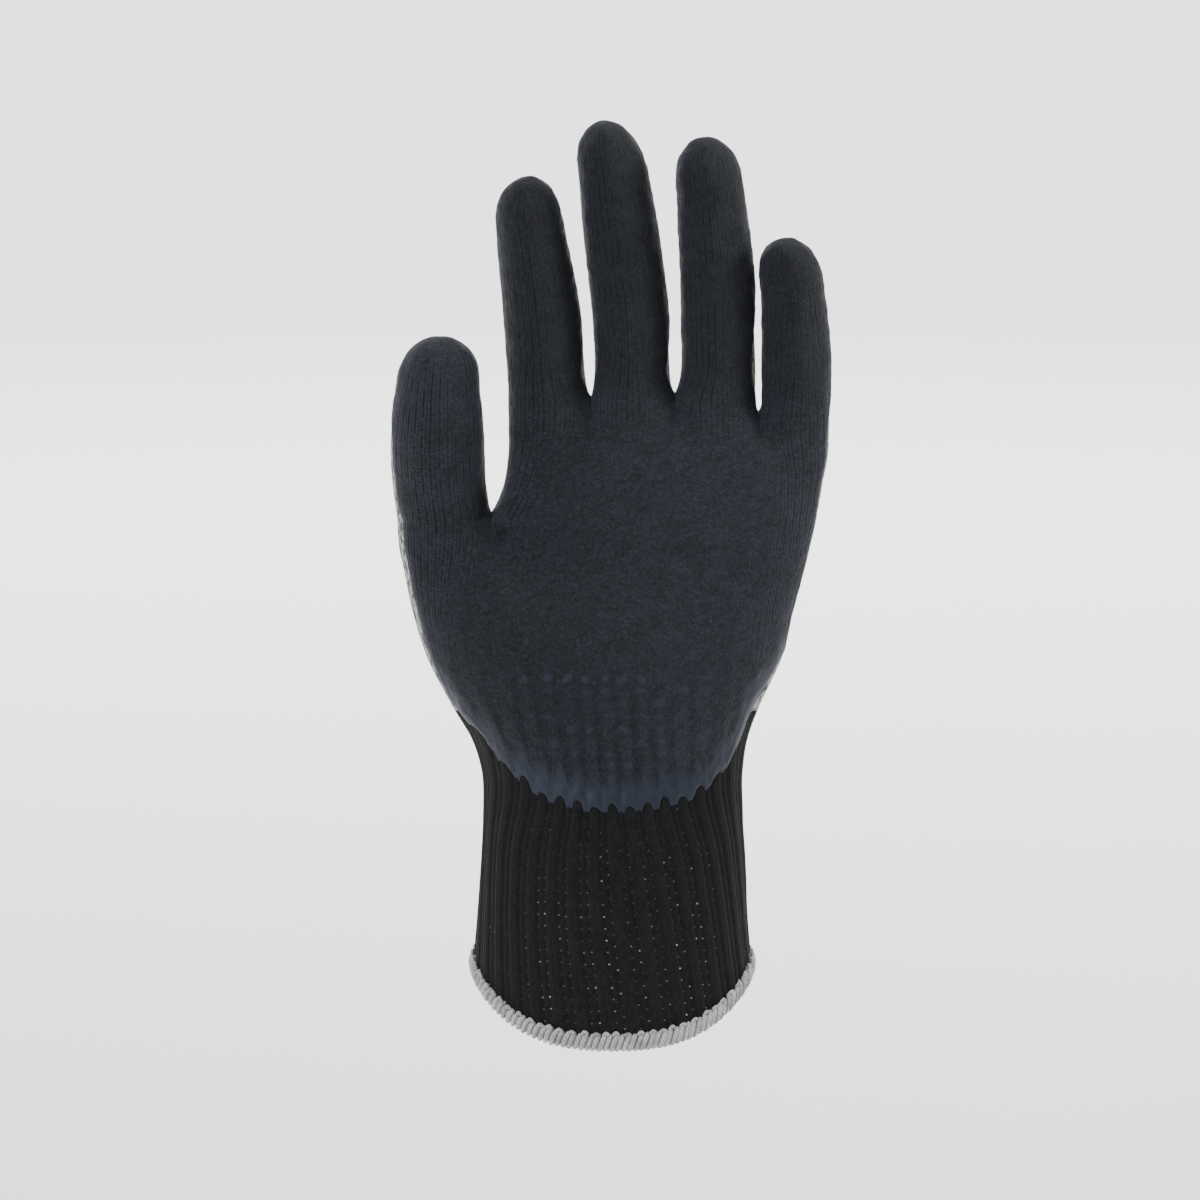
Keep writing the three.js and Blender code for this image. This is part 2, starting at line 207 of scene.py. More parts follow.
@dataclass
class Body:
    """The palm or the hand as level sections: height, left, right, front, back, squareness."""

    rows: Rows
    shares: int = 257
    rings: int = 72
    samples: int = 3001
    levels: Array = field(init=False)
    grid: Array = field(init=False)

    def __post_init__(self) -> None:
        """Measure half of each section along its edge, from the left side to the right side."""
        self.levels = np.linspace(self.rows[0][0], self.rows[-1][0], self.rings)
        sweep = np.linspace(PI, 2 * PI, self.samples)
        grid = []
        for z in self.levels:
            run = lengths(np.stack(self.outline(z, sweep), -1))
            grid.append(np.interp(np.linspace(0, run[-1], self.shares), run, sweep))
        self.grid = np.array(grid)

    def size(self, z: Number) -> tuple[Array, ...]:
        """Read the centre across and in depth, half the width, half the depth and the squareness."""
        left, right, front, back, square = (Profile(self.rows).at(z, column) for column in range(1, 6))
        return (left + right) / 2, (front + back) / 2, (right - left) / 2, (back - front) / 2, square

    def outline(self, z: Number, angle: Array) -> tuple[Array, Array]:
        """Find the place across and half the depth of the section at an angle."""
        middle, _, wide, deep, square = self.size(z)
        return middle + wide * bent(np.cos(angle), 2 / square), deep * np.abs(np.sin(angle)) ** (2 / square)

    def angle(self, z: Array, share: Array) -> Array:
        """Find the section's angle at a share of the way from its left side to its right side.

        Args:
            z: The heights.
            share: The shares, 0 at the left side and 1 at the right side.

        Returns:
            The angles, from pi at the left side to two pi at the right side.
        """
        row = np.interp(z, self.levels, np.arange(self.rings))
        low = np.clip(row.astype(int), 0, self.rings - 2)
        step = np.clip(share, 0, 1) * (self.shares - 1)
        left = np.clip(step.astype(int), 0, self.shares - 2)
        below = blend(step - left, self.grid[low, left], self.grid[low, left + 1])
        above = blend(step - left, self.grid[low + 1, left], self.grid[low + 1, left + 1])
        return blend(row - low, below, above)

    def share_at(self, z: float, x: Array) -> Array:
        """Find the shares of the way round at which the section has given places across."""
        shares = np.linspace(0, 1, self.shares)
        return np.interp(x, self.outline(z, self.angle(np.full(self.shares, z), shares))[0], shares)

    def place(self, z: Array, share: Array, back: Array) -> Array:
        """Find points on the body.

        Args:
            z: The heights.
            share: The shares of the way from the left side to the right side.
            back: True for a point on the back of the hand.

        Returns:
            One row of x, y and z for each point.
        """
        x, depth = self.outline(z, self.angle(z, share))
        y = self.size(z)[1] + np.where(back, depth, -depth)
        return np.stack([x, y, np.broadcast_to(z, x.shape)], -1)

    def off_middle(self, x: Array, z: Array) -> Array:
        """Measure how far out points lie, 0 in the middle and 1 at the side."""
        middle, _, wide, _, _ = self.size(z)
        return np.abs(x - middle) / wide


# Height, left, right, front, back and squareness of the knit's outer face
PALM = Body(
    (
        (140.0, -34.5, 54.6, -25.4, 6.2, 2.6),
        (144.0, -31.8, 55.1, -24.8, 5.5, 2.6),
        (147.0, -30.0, 55.6, -24.2, 5.0, 2.6),
        (152.0, -28.2, 56.4, -23.0, 3.9, 2.6),
        (160.0, -26.9, 57.7, -21.0, 2.0, 2.5),
        (168.5, -26.7, 58.2, -18.9, -0.4, 2.4),
        (176.0, -26.8, 58.1, -18.0, -1.0, 2.4),
        (182.0, -26.7, 58.2, -17.6, -1.4, 2.4),
    )
)
HAND = Body(
    (
        (0.0, -39.4, 39.9, -25.4, 25.4, 2.1),
        (18.0, -37.9, 38.6, -26.8, 23.4, 2.1),
        (32.6, -36.7, 37.5, -28.0, 21.4, 2.1),
        (46.6, -35.7, 36.8, -28.9, 19.4, 2.1),
        (60.4, -35.0, 36.1, -29.4, 17.2, 2.1),
        (74.4, -35.3, 35.9, -29.5, 14.8, 2.1),
        (83.3, -37.9, 37.1, -29.4, 13.0, 2.2),
        (92.1, -42.8, 40.1, -29.2, 11.4, 2.3),
        (105.3, -49.4, 45.9, -28.9, 9.8, 2.4),
        (118.5, -53.3, 49.0, -28.3, 8.6, 2.5),
        (131.6, -55.8, 52.4, -27.0, 7.3, 2.6),
        (138.0, -56.8, 53.9, -26.0, 6.5, 2.6),
        (143.0, -57.3, 55.0, -25.0, 5.7, 2.6),
        (150.0, -57.5, 55.9, -23.6, 4.6, 2.6),
    )
)

# The tables give the coated finger, and the knit's face is this much inside it at each side
COAT_SIDE = 0.5


@dataclass(frozen=True)
class Finger:
    """One finger stall: its centreline and width by height, and where the coating ends on it.

    rows holds height, centre across and width of the coated finger, up to the height of its tip. The
    dips say how far behind the centreline the coating reaches, on the finger's left and right half.
    """

    rows: Profile
    bend: Profile
    cap: float
    depth: float
    dip_left: Profile
    dip_right: Profile
    tip_reach: float = 11.0
    squareness: float = 2.15
    tip_squareness: float = 2.3

    @property
    def tip(self) -> float:
        """Read the height of the tip."""
        return self.rows.rows[-1][0]

    @property
    def shoulder(self) -> float:
        """Read the height at which the rounded end starts."""
        return self.tip - self.cap

    def ring(self, z: Array, angles: Array) -> Array:
        """Find the points of one row of stitches round the finger.

        Args:
            z: The height of each point.
            angles: The angle of each point round the finger, pi at the left and rising over the front.

        Returns:
            One row of x, y and z for each point.
        """
        rise = np.clip((z - self.shoulder) / (self.cap - COAT_SIDE), 0, 1)
        narrowing = np.sqrt(np.clip(1 - rise**self.tip_squareness, 0, 1))
        half = (self.rows.at(z, 2) / 2 - COAT_SIDE) * narrowing
        x = self.rows.at(z) + half * bent(np.cos(angles), 2 / self.squareness)
        y = self.bend.at(z) + half * self.depth * bent(np.sin(angles), 2 / self.squareness)
        return np.stack([x, y, z], -1)


THUMB = Finger(
    rows=Profile((
        (144.0, -44.9, 25.4), (153.8, -45.9, 25.5), (167.0, -46.1, 25.1), (174.0, -45.8, 23.6),
        (180.1, -45.6, 22.0), (186.6, -45.0, 21.2), (193.4, -44.8, 20.6),
    )),
    bend=Profile(((144.0, -11.6), (152.0, -13.4), (169.0, -18.0), (182.0, -20.6), (193.4, -22.0))),
    cap=12.0,
    depth=0.82,
    dip_left=Profile(((140.0, -4.6), (160.0, -4.4), (167.0, -3.4), (176.0, 2.6), (193.0, 3.0))),
    dip_right=Profile(((140.0, -1.0), (193.0, 3.0))),
)
INDEX = Finger(
    rows=Profile((
        (171.0, -16.2, 21.9), (175.4, -16.25, 21.9), (181.0, -16.9, 21.3), (188.3, -17.4, 21.0),
        (201.2, -18.6, 20.4), (214.1, -20.3, 19.0), (220.6, -21.2, 18.0), (227.0, -21.7, 17.3),
        (234.7, -21.5, 16.8),
    )),
    bend=Profile(((171.0, -9.4), (182.0, -9.6), (204.0, -11.0), (221.0, -13.4), (234.7, -16.2))),
    cap=12.5,
    depth=0.87,
    dip_left=Profile(((175.0, -0.4), (225.0, 4.0))),
    dip_right=Profile(((175.0, -3.7), (183.0, -3.4), (195.0, 0.4), (225.0, 4.0))),
)
MIDDLE = Finger(
    rows=Profile((
        (171.0, 5.85, 22.3), (176.4, 5.85, 22.3), (181.0, 5.85, 20.9), (185.0, 5.8, 20.4),
        (198.0, 5.2, 20.4), (210.8, 3.8, 20.3), (223.6, 2.2, 19.7), (236.4, 0.5, 18.2),
        (242.7, -0.7, 17.8), (249.2, -1.6, 17.4),
    )),
    bend=Profile(((171.0, -9.4), (182.0, -9.6), (212.0, -11.0), (232.0, -13.8), (249.2, -16.8))),
    cap=13.5,
    depth=0.87,
    dip_left=Profile(((175.0, -0.4), (238.0, 4.0))),
    dip_right=Profile(((175.0, -3.7), (183.0, -3.4), (195.0, 0.4), (238.0, 4.0))),
)
RING = Finger(
    rows=Profile((
        (168.0, 28.05, 22.3), (171.3, 28.05, 22.3), (176.4, 27.95, 21.9), (181.8, 28.6, 20.6),
        (194.7, 28.45, 19.9), (207.6, 28.15, 19.8), (220.4, 27.05, 18.9), (233.2, 25.8, 17.6),
        (239.5, 25.2, 17.4), (245.0, 24.7, 17.1),
    )),
    bend=Profile(((168.0, -9.4), (182.0, -9.6), (209.0, -11.0), (228.0, -13.4), (245.0, -16.4))),
    cap=12.5,
    depth=0.87,
    dip_left=Profile(((172.0, -0.4), (235.0, 4.0))),
    dip_right=Profile(((172.0, -4.0), (186.0, -3.9), (202.0, 0.2), (235.0, 4.0))),
)
LITTLE = Finger(
    rows=Profile((
        (164.0, 48.85, 19.6), (169.0, 48.87, 19.4), (171.3, 48.93, 19.4), (176.0, 49.2, 19.0),
        (185.1, 49.25, 18.8), (198.1, 48.55, 17.5), (207.8, 47.5, 16.7), (214.3, 46.5, 16.9),
        (218.6, 46.1, 16.7),
    )),
    bend=Profile(((164.0, -9.4), (180.0, -9.8), (196.0, -11.0), (208.0, -13.4), (218.6, -15.6))),
    cap=11.5,
    depth=0.88,
    dip_left=Profile(((170.0, -0.6), (210.0, 4.0))),
    dip_right=Profile(((169.0, -3.0), (180.0, -1.2), (210.0, 3.6))),
)

# A point's zone is 0 on the body, the finger's number from 1 on a finger, and 5 on the thumb
FINGERS = (INDEX, MIDDLE, RING, LITTLE)
THUMB_ZONE = 5

# Heights at which the fingers leave the palm, by place across, and the places where they part
FINGER_BASES = Profile(((-27.2, 175.4), (-5.3, 175.4), (17.0, 176.4), (39.2, 171.3), (58.6, 169.0)))
FINGER_EDGES = (-26.8, -5.3, 17.0, 39.2, 58.1)
THUMB_BASE = 144.0
BASE_LEVEL = 175.0
HALF_FINGER = 11.1
CROTCHES = (*((x, -9.5, float(FINGER_BASES.at(x))) for x in FINGER_EDGES[1:4]), (-32.0, -11.5, THUMB_BASE))

# Across and height of the dimple at the thumb's crotch, and of both ends of the crease above it
DIMPLE = (-28.6, 139.6)
CREASE = np.array([[-28.6, 139.5], [-19.0, 157.0]])

# Wales over half the palm and half the thumb, and how much closer they lie on the fingers
PALM_WALES = 52
THUMB_WALES = 19
FINGER_SPREAD = 18 / 13


@dataclass(frozen=True)
class Ribs:
    """The ribs of the cuff: how many there are, where they lie and how they are shaped."""

    count: int = 34
    pitch: float = 5.9
    depth: float = 0.52
    bunch: Profile = Profile(
        ((15, 0.10), (35, 0.09), (46, 0.05), (55, 0.0), (67, -0.17), (85, -0.28), (104, -0.35))
    )
    lean: Profile = Profile(((8, 5.0), (15, 4.2), (30, 2.6), (45, 1.1), (62, 0.0), (80, 0.0)))
    relief: Profile = Profile(
        ((0.0, -0.5), (0.08, -0.62), (0.165, -1.0), (0.25, -0.42), (0.33, -0.1), (0.42, 0.0), (0.5, -0.12))
    )

    def crowd(self, z: Array, share: Array) -> Array:
        """Find how far the ribs crowd together or apart, as a share of the way round."""
        return self.bunch.at(z) * np.sin(2 * PI * share) / (2 * PI)

    def turn(self, z: Array, share: Array, back: Array) -> Array:
        """Count the ribs from the thumb's side over the palm and behind, a whole number in a groove."""
        passed = self.count / 2 * (share + self.crowd(z, share))
        return np.where(back > 0.5, self.count - passed, passed) - self.lean.at(z) / self.pitch

    def locate(self, z: Array, turn: Array) -> tuple[Array, Array]:
        """Find where on the body a number of ribs is reached.

        Args:
            z: The heights.
            turn: The numbers of ribs.

        Returns:
            The share of the way from left to right, and whether the point is on the back.
        """
        half = self.count / 2
        around = np.mod(turn + self.lean.at(z) / self.pitch, self.count)
        back = around >= half
        even = np.where(back, self.count - around, around) / half
        share = even
        for _ in range(12):
            share = even - self.crowd(z, share)
        return share, back

    def height(self, turn: Array) -> Array:
        """Read the ribs' relief, 0 on a crest and about -1 in a crease."""
        return self.relief.at(off_whole(turn))

    def fading(self, turn: Array, z: Array) -> Array:
        """Read the ribs' height in millimetres where they run out under the hand."""
        return self.height(turn) * self.depth * ramp(106, 93, z)

    def soft_height(self, turn: Array) -> Array:
        """Read the relief of the coating, which bridges the bottom of each groove, 0 to -1."""
        return ramp(0.06, 0.36, off_whole(turn)) - 1.0


RIBS = Ribs()


@dataclass
class Surface:
    """A mesh of quads and triangles with a pattern map, and values kept for each point."""

    places: Array
    faces: Array
    maps: Array
    marks: dict[str, Array] = field(default_factory=dict)

    def corners(self, twin: int) -> Array:
        """Read the faces' corners, where another corner of a triangle stands in for its fourth."""
        return np.where(self.faces < 0, self.faces[:, twin : twin + 1], self.faces)

    def normals(self) -> Array:
        """Work out the outward direction at each point from the faces round it.

        Returns:
            One unit vector for each point.
        """
        corner = self.corners(2)
        a, b, c, d = (self.places[corner[:, k]] for k in range(4))
        total = np.zeros_like(self.places)
        for k in range(4):
            np.add.at(total, corner[:, k], np.cross(c - a, d - b))
        return unit(total)

    def relax(self, weight: Array, rounds: int, axes: Point = (1.0, 1.0, 1.0)) -> None:
        """Ease points towards the middle of their neighbours.

        Args:
            weight: How far each point may go each time, 0 to 1.
            rounds: How many times.
            axes: How much of the move is made along x, y and z.
        """
        corner = self.corners(0)
        ends = np.concatenate([corner[:, [k, (k + 1) % 4]] for k in range(4)])
        ends = ends[ends[:, 0] != ends[:, 1]]
        count = np.bincount(ends[:, 0], minlength=len(self.places))
        for _ in range(rounds):
            total = np.zeros_like(self.places)
            np.add.at(total, ends[:, 0], self.places[ends[:, 1]])
            middle = total / np.maximum(count, 1)[:, None]
            self.places += weight[:, None] * np.array(axes) * (middle - self.places)

    def ribs_passed(self) -> Array:
        """Count the ribs at each point from its height and its kept share and side."""
        return RIBS.turn(self.places[:, 2], self.marks["share"], self.marks["back"])


@dataclass
class Fall:
    """How a ring of columns comes down from a crotch onto the body below it.

    The columns line up with the body's shares at a level, and the rows run down to an end. Over the
    stated heights the columns even out, their places across are let go, and each swings to the body's
    depth. bulge makes that swing S-shaped, held says how firmly a place across is kept, and drop is how
    far a column bulges forward.
    """

    body: Body
    level: float
    end: float
    depth: float
    even_over: float
    hold_over: float
    reach: Array
    bulge: Array
    held: Number = 1.0
    drop: Number = 0.0


@dataclass
class HandWeaver:
    """Lays out the knit surface of the hand from the fingertips down to a lowest level.

    The columns count half a finger and half the thumb. Neighbouring fingers share the point at their
    crotch, and the columns of all five run on down the palm.
    """

    finger_columns: int
    thumb_columns: int
    row: float
    lowest: float
    points: list[Array] = field(default_factory=list)
    faces: list[Array] = field(default_factory=list)
    maps: list[Array] = field(default_factory=list)
    marks: dict[str, list[Array]] = field(default_factory=lambda: {"zone": [], "share": [], "back": []})

    def add(self, places: Array, zone: int, share: Number, back: Array | bool) -> Array:
        """Add points.

        Args:
            places: Their x, y and z.
            zone: Their zone.
            share: Their share of the way from left to right.
            back: Whether they are on the back.

        Returns:
            Their numbers.
        """
        first = sum(map(len, self.points))
        self.points.append(places)
        for name, value in (("zone", zone), ("share", share), ("back", back)):
            self.marks[name].append(np.broadcast_to(np.asarray(value, float), len(places)))
        return np.arange(first, first + len(places))

    def join(self, faces: Array, maps: Array) -> None:
        """Add faces with their pattern map."""
        self.faces.append(faces)
        self.maps.append(maps)

    def finger(self, number: int, finger: Finger, half: int, u0: float, wales: float) -> Array:
        """Lay out one finger above its base.

        Args:
            number: The finger's zone.
            finger: The finger's shape.
            half: Columns over half the finger.
            u0: Wale number at its left side, at the base.
            wales: Wales over half of it, at the base.

        Returns:
            The numbers of the base row.
        """
        on_palm = number < THUMB_ZONE
        angles = PI + PI * np.arange(2 * half) / half
        base = np.full(2 * half, THUMB_BASE)
        if on_palm:
            ends = FINGER_BASES.at(finger.rows.at(BASE_LEVEL) + np.array([-HALF_FINGER, HALF_FINGER]))
            base = blend((np.cos(angles) + 1) / 2, ends[0], ends[1])
        shoulder, top = finger.shoulder, finger.tip - COAT_SIDE
        steps = max(round((shoulder - base.mean()) / self.row), 6)
        caps = max(round(1.3 * finger.cap / self.row), 6)
        heights = [base + (shoulder - base) * k / steps for k in range(steps + 1)]
        for k in range(1, caps):
            heights.append(np.full(2 * half, shoulder + (top - shoulder) * math.sin(PI / 2 * k / caps)))
        index = np.arange(2 * half + 1)
        middle = np.where(index <= half, 0.5, 1.5)
        rows, flats = [], []
        for k, z in enumerate(heights):
            places = finger.ring(z, angles)
            if k == 0 and on_palm:
                low, high = places[:, 0].min(), places[:, 0].max()
                left, right = FINGER_EDGES[number - 1 : number + 1]
                places[:, 0] = left + (places[:, 0] - low) / (high - low) * (right - left)
            rows.append(self.add(places, number, 0.0, np.sin(angles) > 1e-6))
            step = np.linalg.norm(places - self.points[-2], axis=1).mean() if k > steps else 0.0
            along = z if k <= steps else along + step
            spread = blend(ramp(0, 12, np.mean(z - base)), 1.0, FINGER_SPREAD) if on_palm else 1.0
            u = u0 + middle * wales + (index - middle * half) * wales / half * spread
            flats.append(np.stack([u, closed(along)], -1))
        self.join(*weave(rows, flats))
        pole = self.add(finger.ring(np.array([top]), np.array([0.0])), number, 0.0, False)
        last, flat = closed(rows[-1]), flats[-1]
        centre = (flat[:-1] + flat[1:]) / 2
        centre[:, 1] = flat[:-1, 1] + self.row
        fan = np.stack([last[:-1], last[1:], np.repeat(pole, 2 * half), np.full(2 * half, -1)], 1)
        self.join(fan, np.stack([flat[:-1], flat[1:], centre, np.zeros_like(centre)], 1))
        return rows[0]

    def depths(self, total: float) -> Array:
        """Space rows below a crotch, closer together at the start.

        Args:
            total: How far down the last row lies.

        Returns:
            The share of the way down at each row.
        """
        first = np.array([0.0, 0.15, 0.5, 1.05, 1.8, 2.7])
        steps = max(round((total - first[-1]) / self.row), 4)
        rest = np.linspace(first[-1], total, steps + 1)[1:]
        return np.concatenate([first, rest]) / total

    def descend(self, top: Array, u: Array, fall: Fall) -> Array:
        """Lay out the rows below a crotch.

        Args:
            top: The numbers of the points that the rows start from.
            u: The wale number of each column, with a closing entry.
            fall: How the columns come down.

        Returns:
            The numbers of the lowest row.
        """
        x, y, high = np.concatenate(self.points)[top].T
        mirrored, back = halves(len(top))
        equal = mirrored / (len(top) // 2)
        aligned = fall.body.share_at(fall.level, x)
        rows = [top]
        for t in self.depths(fall.depth)[1:]:
            z = blend(t, high, fall.end)
            down = high - z
            share = blend(ramp(0, fall.even_over, down), aligned, equal)
            places = fall.body.place(z, share, back)
            swing = np.clip(down / fall.reach, 0, 1)
            round_in = np.sqrt(np.clip(1 - (1 - swing) ** 2, 0, 1))
            ease = blend(fall.bulge, round_in, ramp(0, 1, swing))
            places[:, 1] = blend(ease, y, places[:, 1]) + fall.drop * ramp(166, 146, z)
            keep = (1 - ramp(0, fall.hold_over, down)) * fall.held
            places[:, 0] = blend(keep, places[:, 0], x)
            rows.append(self.add(places, 0, share, back))
        rows.reverse()
        heights = np.concatenate(self.points)[:, 2]
        self.join(*weave(rows, [np.stack([u, closed(heights[row])], -1) for row in rows]))
        return rows[0]

    def palm(self, bases: list[Array]) -> Array:
        """Lay out the palm from the finger bases down to the thumb's crotch.

        Args:
            bases: The base rows of the four fingers.

        Returns:
            The numbers of the palm's lowest row.
        """
        half = self.finger_columns
        front = 4 * half
        for left, right in zip(bases, bases[1:]):
            right[0] = left[half]
        top = np.concatenate([base[:half] for base in bases] + [base[half:] for base in reversed(bases)])
        number = np.arange(2 * front)
        mirrored, _ = halves(2 * front)
        off_crotch = np.minimum(number % half, half - number % half) / (half / 2)
        at_side = np.minimum(mirrored, front - mirrored) < half / 2
        fall = Fall(PALM, level=172.0, end=THUMB_BASE, depth=31.0, even_over=30.0, hold_over=14.0,
                    reach=np.where(at_side, 26.0, 8.5 + 20.0 * off_crotch**1.5),
                    bulge=np.where(at_side, 1.0, np.clip(off_crotch * 1.6, 0, 1)),
                    drop=-1.6 * bell(mirrored * 0.7, 9.0))
        return self.descend(top, np.arange(2 * front + 1) * PALM_WALES / front, fall)

    def lower(self, palm_row: Array, thumb_row: Array) -> Array:
        """Lay out the hand below the thumb's crotch.

        Args:
            palm_row: The palm's lowest row.
            thumb_row: The thumb's base row.

        Returns:
            The numbers of the lowest row.
        """
        thumb, palm = self.thumb_columns, len(palm_row)
        top = np.concatenate([thumb_row[:thumb], closed(palm_row), thumb_row[thumb + 1 :]])
        mirrored, _ = halves(len(top))
        off_crotch = np.abs(mirrored - thumb)
        fall = Fall(HAND, level=THUMB_BASE, end=self.lowest, depth=THUMB_BASE - self.lowest,
                    even_over=38.0, hold_over=16.0,
                    reach=8.5 + 21.5 * np.clip(off_crotch / (thumb / 2), 0, 1) ** 1.3,
                    bulge=np.clip(off_crotch / (thumb / 2.6), 0, 1),
                    held=np.where(mirrored < thumb, 1.0, np.exp(-off_crotch / 12.0)))
        corners = (0, thumb, thumb + palm, len(top))
        wales = (-THUMB_WALES, 0, 2 * PALM_WALES, 2 * PALM_WALES + THUMB_WALES)
        return self.descend(top, np.interp(np.arange(len(top) + 1), corners, wales), fall)

    def build(self) -> Surface:
        """Lay out the whole hand.

        Returns:
            The surface, with the zone, share and back of each point.
        """
        half, wales = self.finger_columns, PALM_WALES / len(FINGERS)
        bases = [self.finger(i + 1, finger, half, i * wales, wales) for i, finger in enumerate(FINGERS)]
        merged = {right[0]: left[half] for left, right in zip(bases, bases[1:])}
        thumb_row = self.finger(THUMB_ZONE, THUMB, self.thumb_columns, -THUMB_WALES, THUMB_WALES)
        palm_row = self.palm(bases)
        merged[thumb_row[self.thumb_columns]] = palm_row[0]
        lowest = self.lower(palm_row, thumb_row)
        faces = np.concatenate(self.faces)
        for old, new in merged.items():
            faces[faces == old] = new
        marks = {name: np.concatenate(parts) for name, parts in self.marks.items()}
        surface = Surface(np.concatenate(self.points), faces, np.concatenate(self.maps), marks)
        self.soften(surface)
        self.fold(surface)
        surface.places[lowest, 2] = self.lowest
        return surface

    def soften(self, surface: Surface) -> None:
        """Round the places where fingers part, and even out the palm.

        Args:
            surface: The surface, whose points are moved.
        """
        x, y, z = surface.places.T
        zone = surface.marks["zone"]
        weight = np.where((zone == 0) & (z < 156), 0.25 * ramp(22, 6, np.abs(z - THUMB_BASE)), 0)
        for spot in CROTCHES:
            away = np.linalg.norm((surface.places - np.array(spot)) * (1, 0.7, 1), axis=1)
            weight = np.maximum(weight, 0.5 * bell(away, 6.0))
        surface.relax(weight, round(17 / self.row**2))
        inward = np.where(
            z > THUMB_BASE, ramp(-26.5, -21, x) * ramp(57, 50, x), ramp(0.97, 0.8, HAND.off_middle(x, z))
        )
        level = ramp(104, 116, z) * ramp(190, 178, z)
        palm_side = (zone < THUMB_ZONE) * ramp(-9.5, -13.0, y)
        surface.relax(0.5 * inward * level * palm_side, round(120 / self.row**2), (0.0, 1.0, 0.0))

    @staticmethod
    def fold(surface: Surface) -> None:
        """Press the dimple at the thumb's crotch, the crease above it, and the palm's soft wrinkles.

        Args:
            surface: The surface, whose points are moved.
        """
        x, y, z = surface.places.T
        front = (surface.marks["zone"] == 0) * ramp(-9.0, -14.0, y)
        dimple = 1.6 * bell(x - DIMPLE[0], 2.6) * bell(z - DIMPLE[1], 2.1)
        start, way = CREASE[0], CREASE[1] - CREASE[0]
        share = np.clip(((x - start[0]) * way[0] + (z - start[1]) * way[1]) / (way @ way), 0, 1)
        off = np.hypot(x - start[0] - share * way[0], z - start[1] - share * way[1])
        crease = 0.4 * bell(off, 2.2) * (1 - share)
        hollow = 1.1 * bell(x + 24, 9) * bell(z - 140, 12)
        slant = np.stack([x * 0.35 + z * 0.94, (x * 0.94 - z * 0.35) * 0.28, y * 0.2], 1)
        wrinkle = 0.22 * wander(slant, 4.5, 3.0) * ramp(-10, 30, x) * ramp(92, 108, z) * ramp(176, 160, z)
        surface.places[:, 1] += front * (dimple + crease + hollow + wrinkle)


@dataclass(frozen=True)
class Dip:
    """The line at which the coating ends: its depth by height, and the bow's height by place across."""

    palm_line: Profile = Profile((
        (60, -12.0), (95, -12.4), (108, -13.0), (120, -13.8), (144, -13.6), (156, -13.2), (168, -12.2),
        (173, -11.2), (177, -10.0),
    ))
    thumb_line: Profile = Profile((
        (60, -11.0), (84, -12.4), (92, -14.8), (100, -15.8), (108, -16.4), (120, -17.2), (134, -17.5),
        (144, -17.2), (150, -16.9),
    ))
    bow: Profile = Profile((
        (-52.0, 107.0), (-46.0, 98.0), (-42.2, 93.0), (-37.4, 87.8), (-33.2, 84.0), (-29.8, 79.0),
        (-24.7, 74.3), (-20.7, 71.2), (-17.0, 69.4), (-10.5, 67.8), (0.0, 66.9), (8.5, 67.2),
        (15.2, 68.1), (20.5, 69.2), (25.5, 71.6), (29.8, 75.6), (33.1, 80.4), (35.2, 85.4),
        (37.0, 90.7), (40.0, 96.0), (46.0, 105.0),
    ))
    crotch_line: float = -8.6
    finger_start: float = 178.0
    thumb_start: float = 149.0
    tip_curve: float = 0.045
    tip_rounding: float = 5.0
    scallop: float = 2.4
    scallop_width: float = 0.3

    def reach(self, surface: Surface) -> tuple[Array, Array]:
        """Measure how far inside the coating each point lies.

        Args:
            surface: The knit surface.

        Returns:
            The distance to the coating's edge, and the distance above its lower edge, in millimetres.
        """
        x, y, z = surface.places.T
        zone = surface.marks["zone"]
        line = blend(ramp(-20, -34, x), self.palm_line.at(z), self.thumb_line.at(z))
        crotch = ramp(-14, -22, x) * ramp(-43, -35, x) * ramp(138, 146, z)
        side = blend(crotch, line, np.maximum(line, self.crotch_line)) - y
        for number, finger in enumerate((*FINGERS, THUMB), 1):
            across = x - finger.rows.at(z)
            dip = blend(ramp(-5, 5, across), finger.dip_left.at(z), finger.dip_right.at(z))
            over_tip = (z - (finger.tip - finger.tip_reach)) - self.tip_curve * across**2
            full = soft_max(finger.bend.at(z) + dip - y, over_tip, self.tip_rounding)
            base = self.thumb_start if number == THUMB_ZONE else self.finger_start
            side = np.where(zone == number, blend(ramp(base - 4, base + 5, z), side, full), side)
        steep = np.abs((self.bow.at(x + 1) - self.bow.at(x - 1)) / 2)
        turn = surface.ribs_passed()
        rib = np.floor(turn)
        uneven = 1 + 0.3 * np.sin(rib * 2.4 + 1) + 0.15 * np.sin(rib * 5.3)
        arch = np.sqrt(np.clip(1 - ((0.5 - off_whole(turn)) / self.scallop_width) ** 2, 0, 1))
        notch = uneven * self.scallop * arch * (1 - 0.45 * ramp(26, 36, np.abs(x)))
        above = (z - self.bow.at(x) - notch) / np.sqrt(1 + steep**2)
        above = np.where(zone == 0, above, 50.0)
        return np.minimum(side, above), above


DIP = Dip()


# Meshes


def make_object(name: str, places: Array, faces: Faces, maps: Array | None = None) -> Thing:
    """Make a mesh object at the origin.

    Args:
        name: The object's name.
        places: The points, in millimetres.
        faces: The point numbers of each face.
        maps: The pattern map at each corner, in the order of the faces' corners.

    Returns:
        The object, shaded smooth.
    """
    mesh = bpy.data.meshes.new(name)
    mesh.from_pydata((places * MM).tolist(), [], faces)
    if maps is not None:
        layer = mesh.uv_layers.new(name="knit")
        layer.data.foreach_set("uv", np.ascontiguousarray(maps, np.float32).ravel())
    mesh.polygons.foreach_set("use_smooth", [True] * len(mesh.polygons))
    mesh.update()
    thing = bpy.data.objects.new(name, mesh)
    bpy.context.scene.collection.objects.link(thing)
    return thing


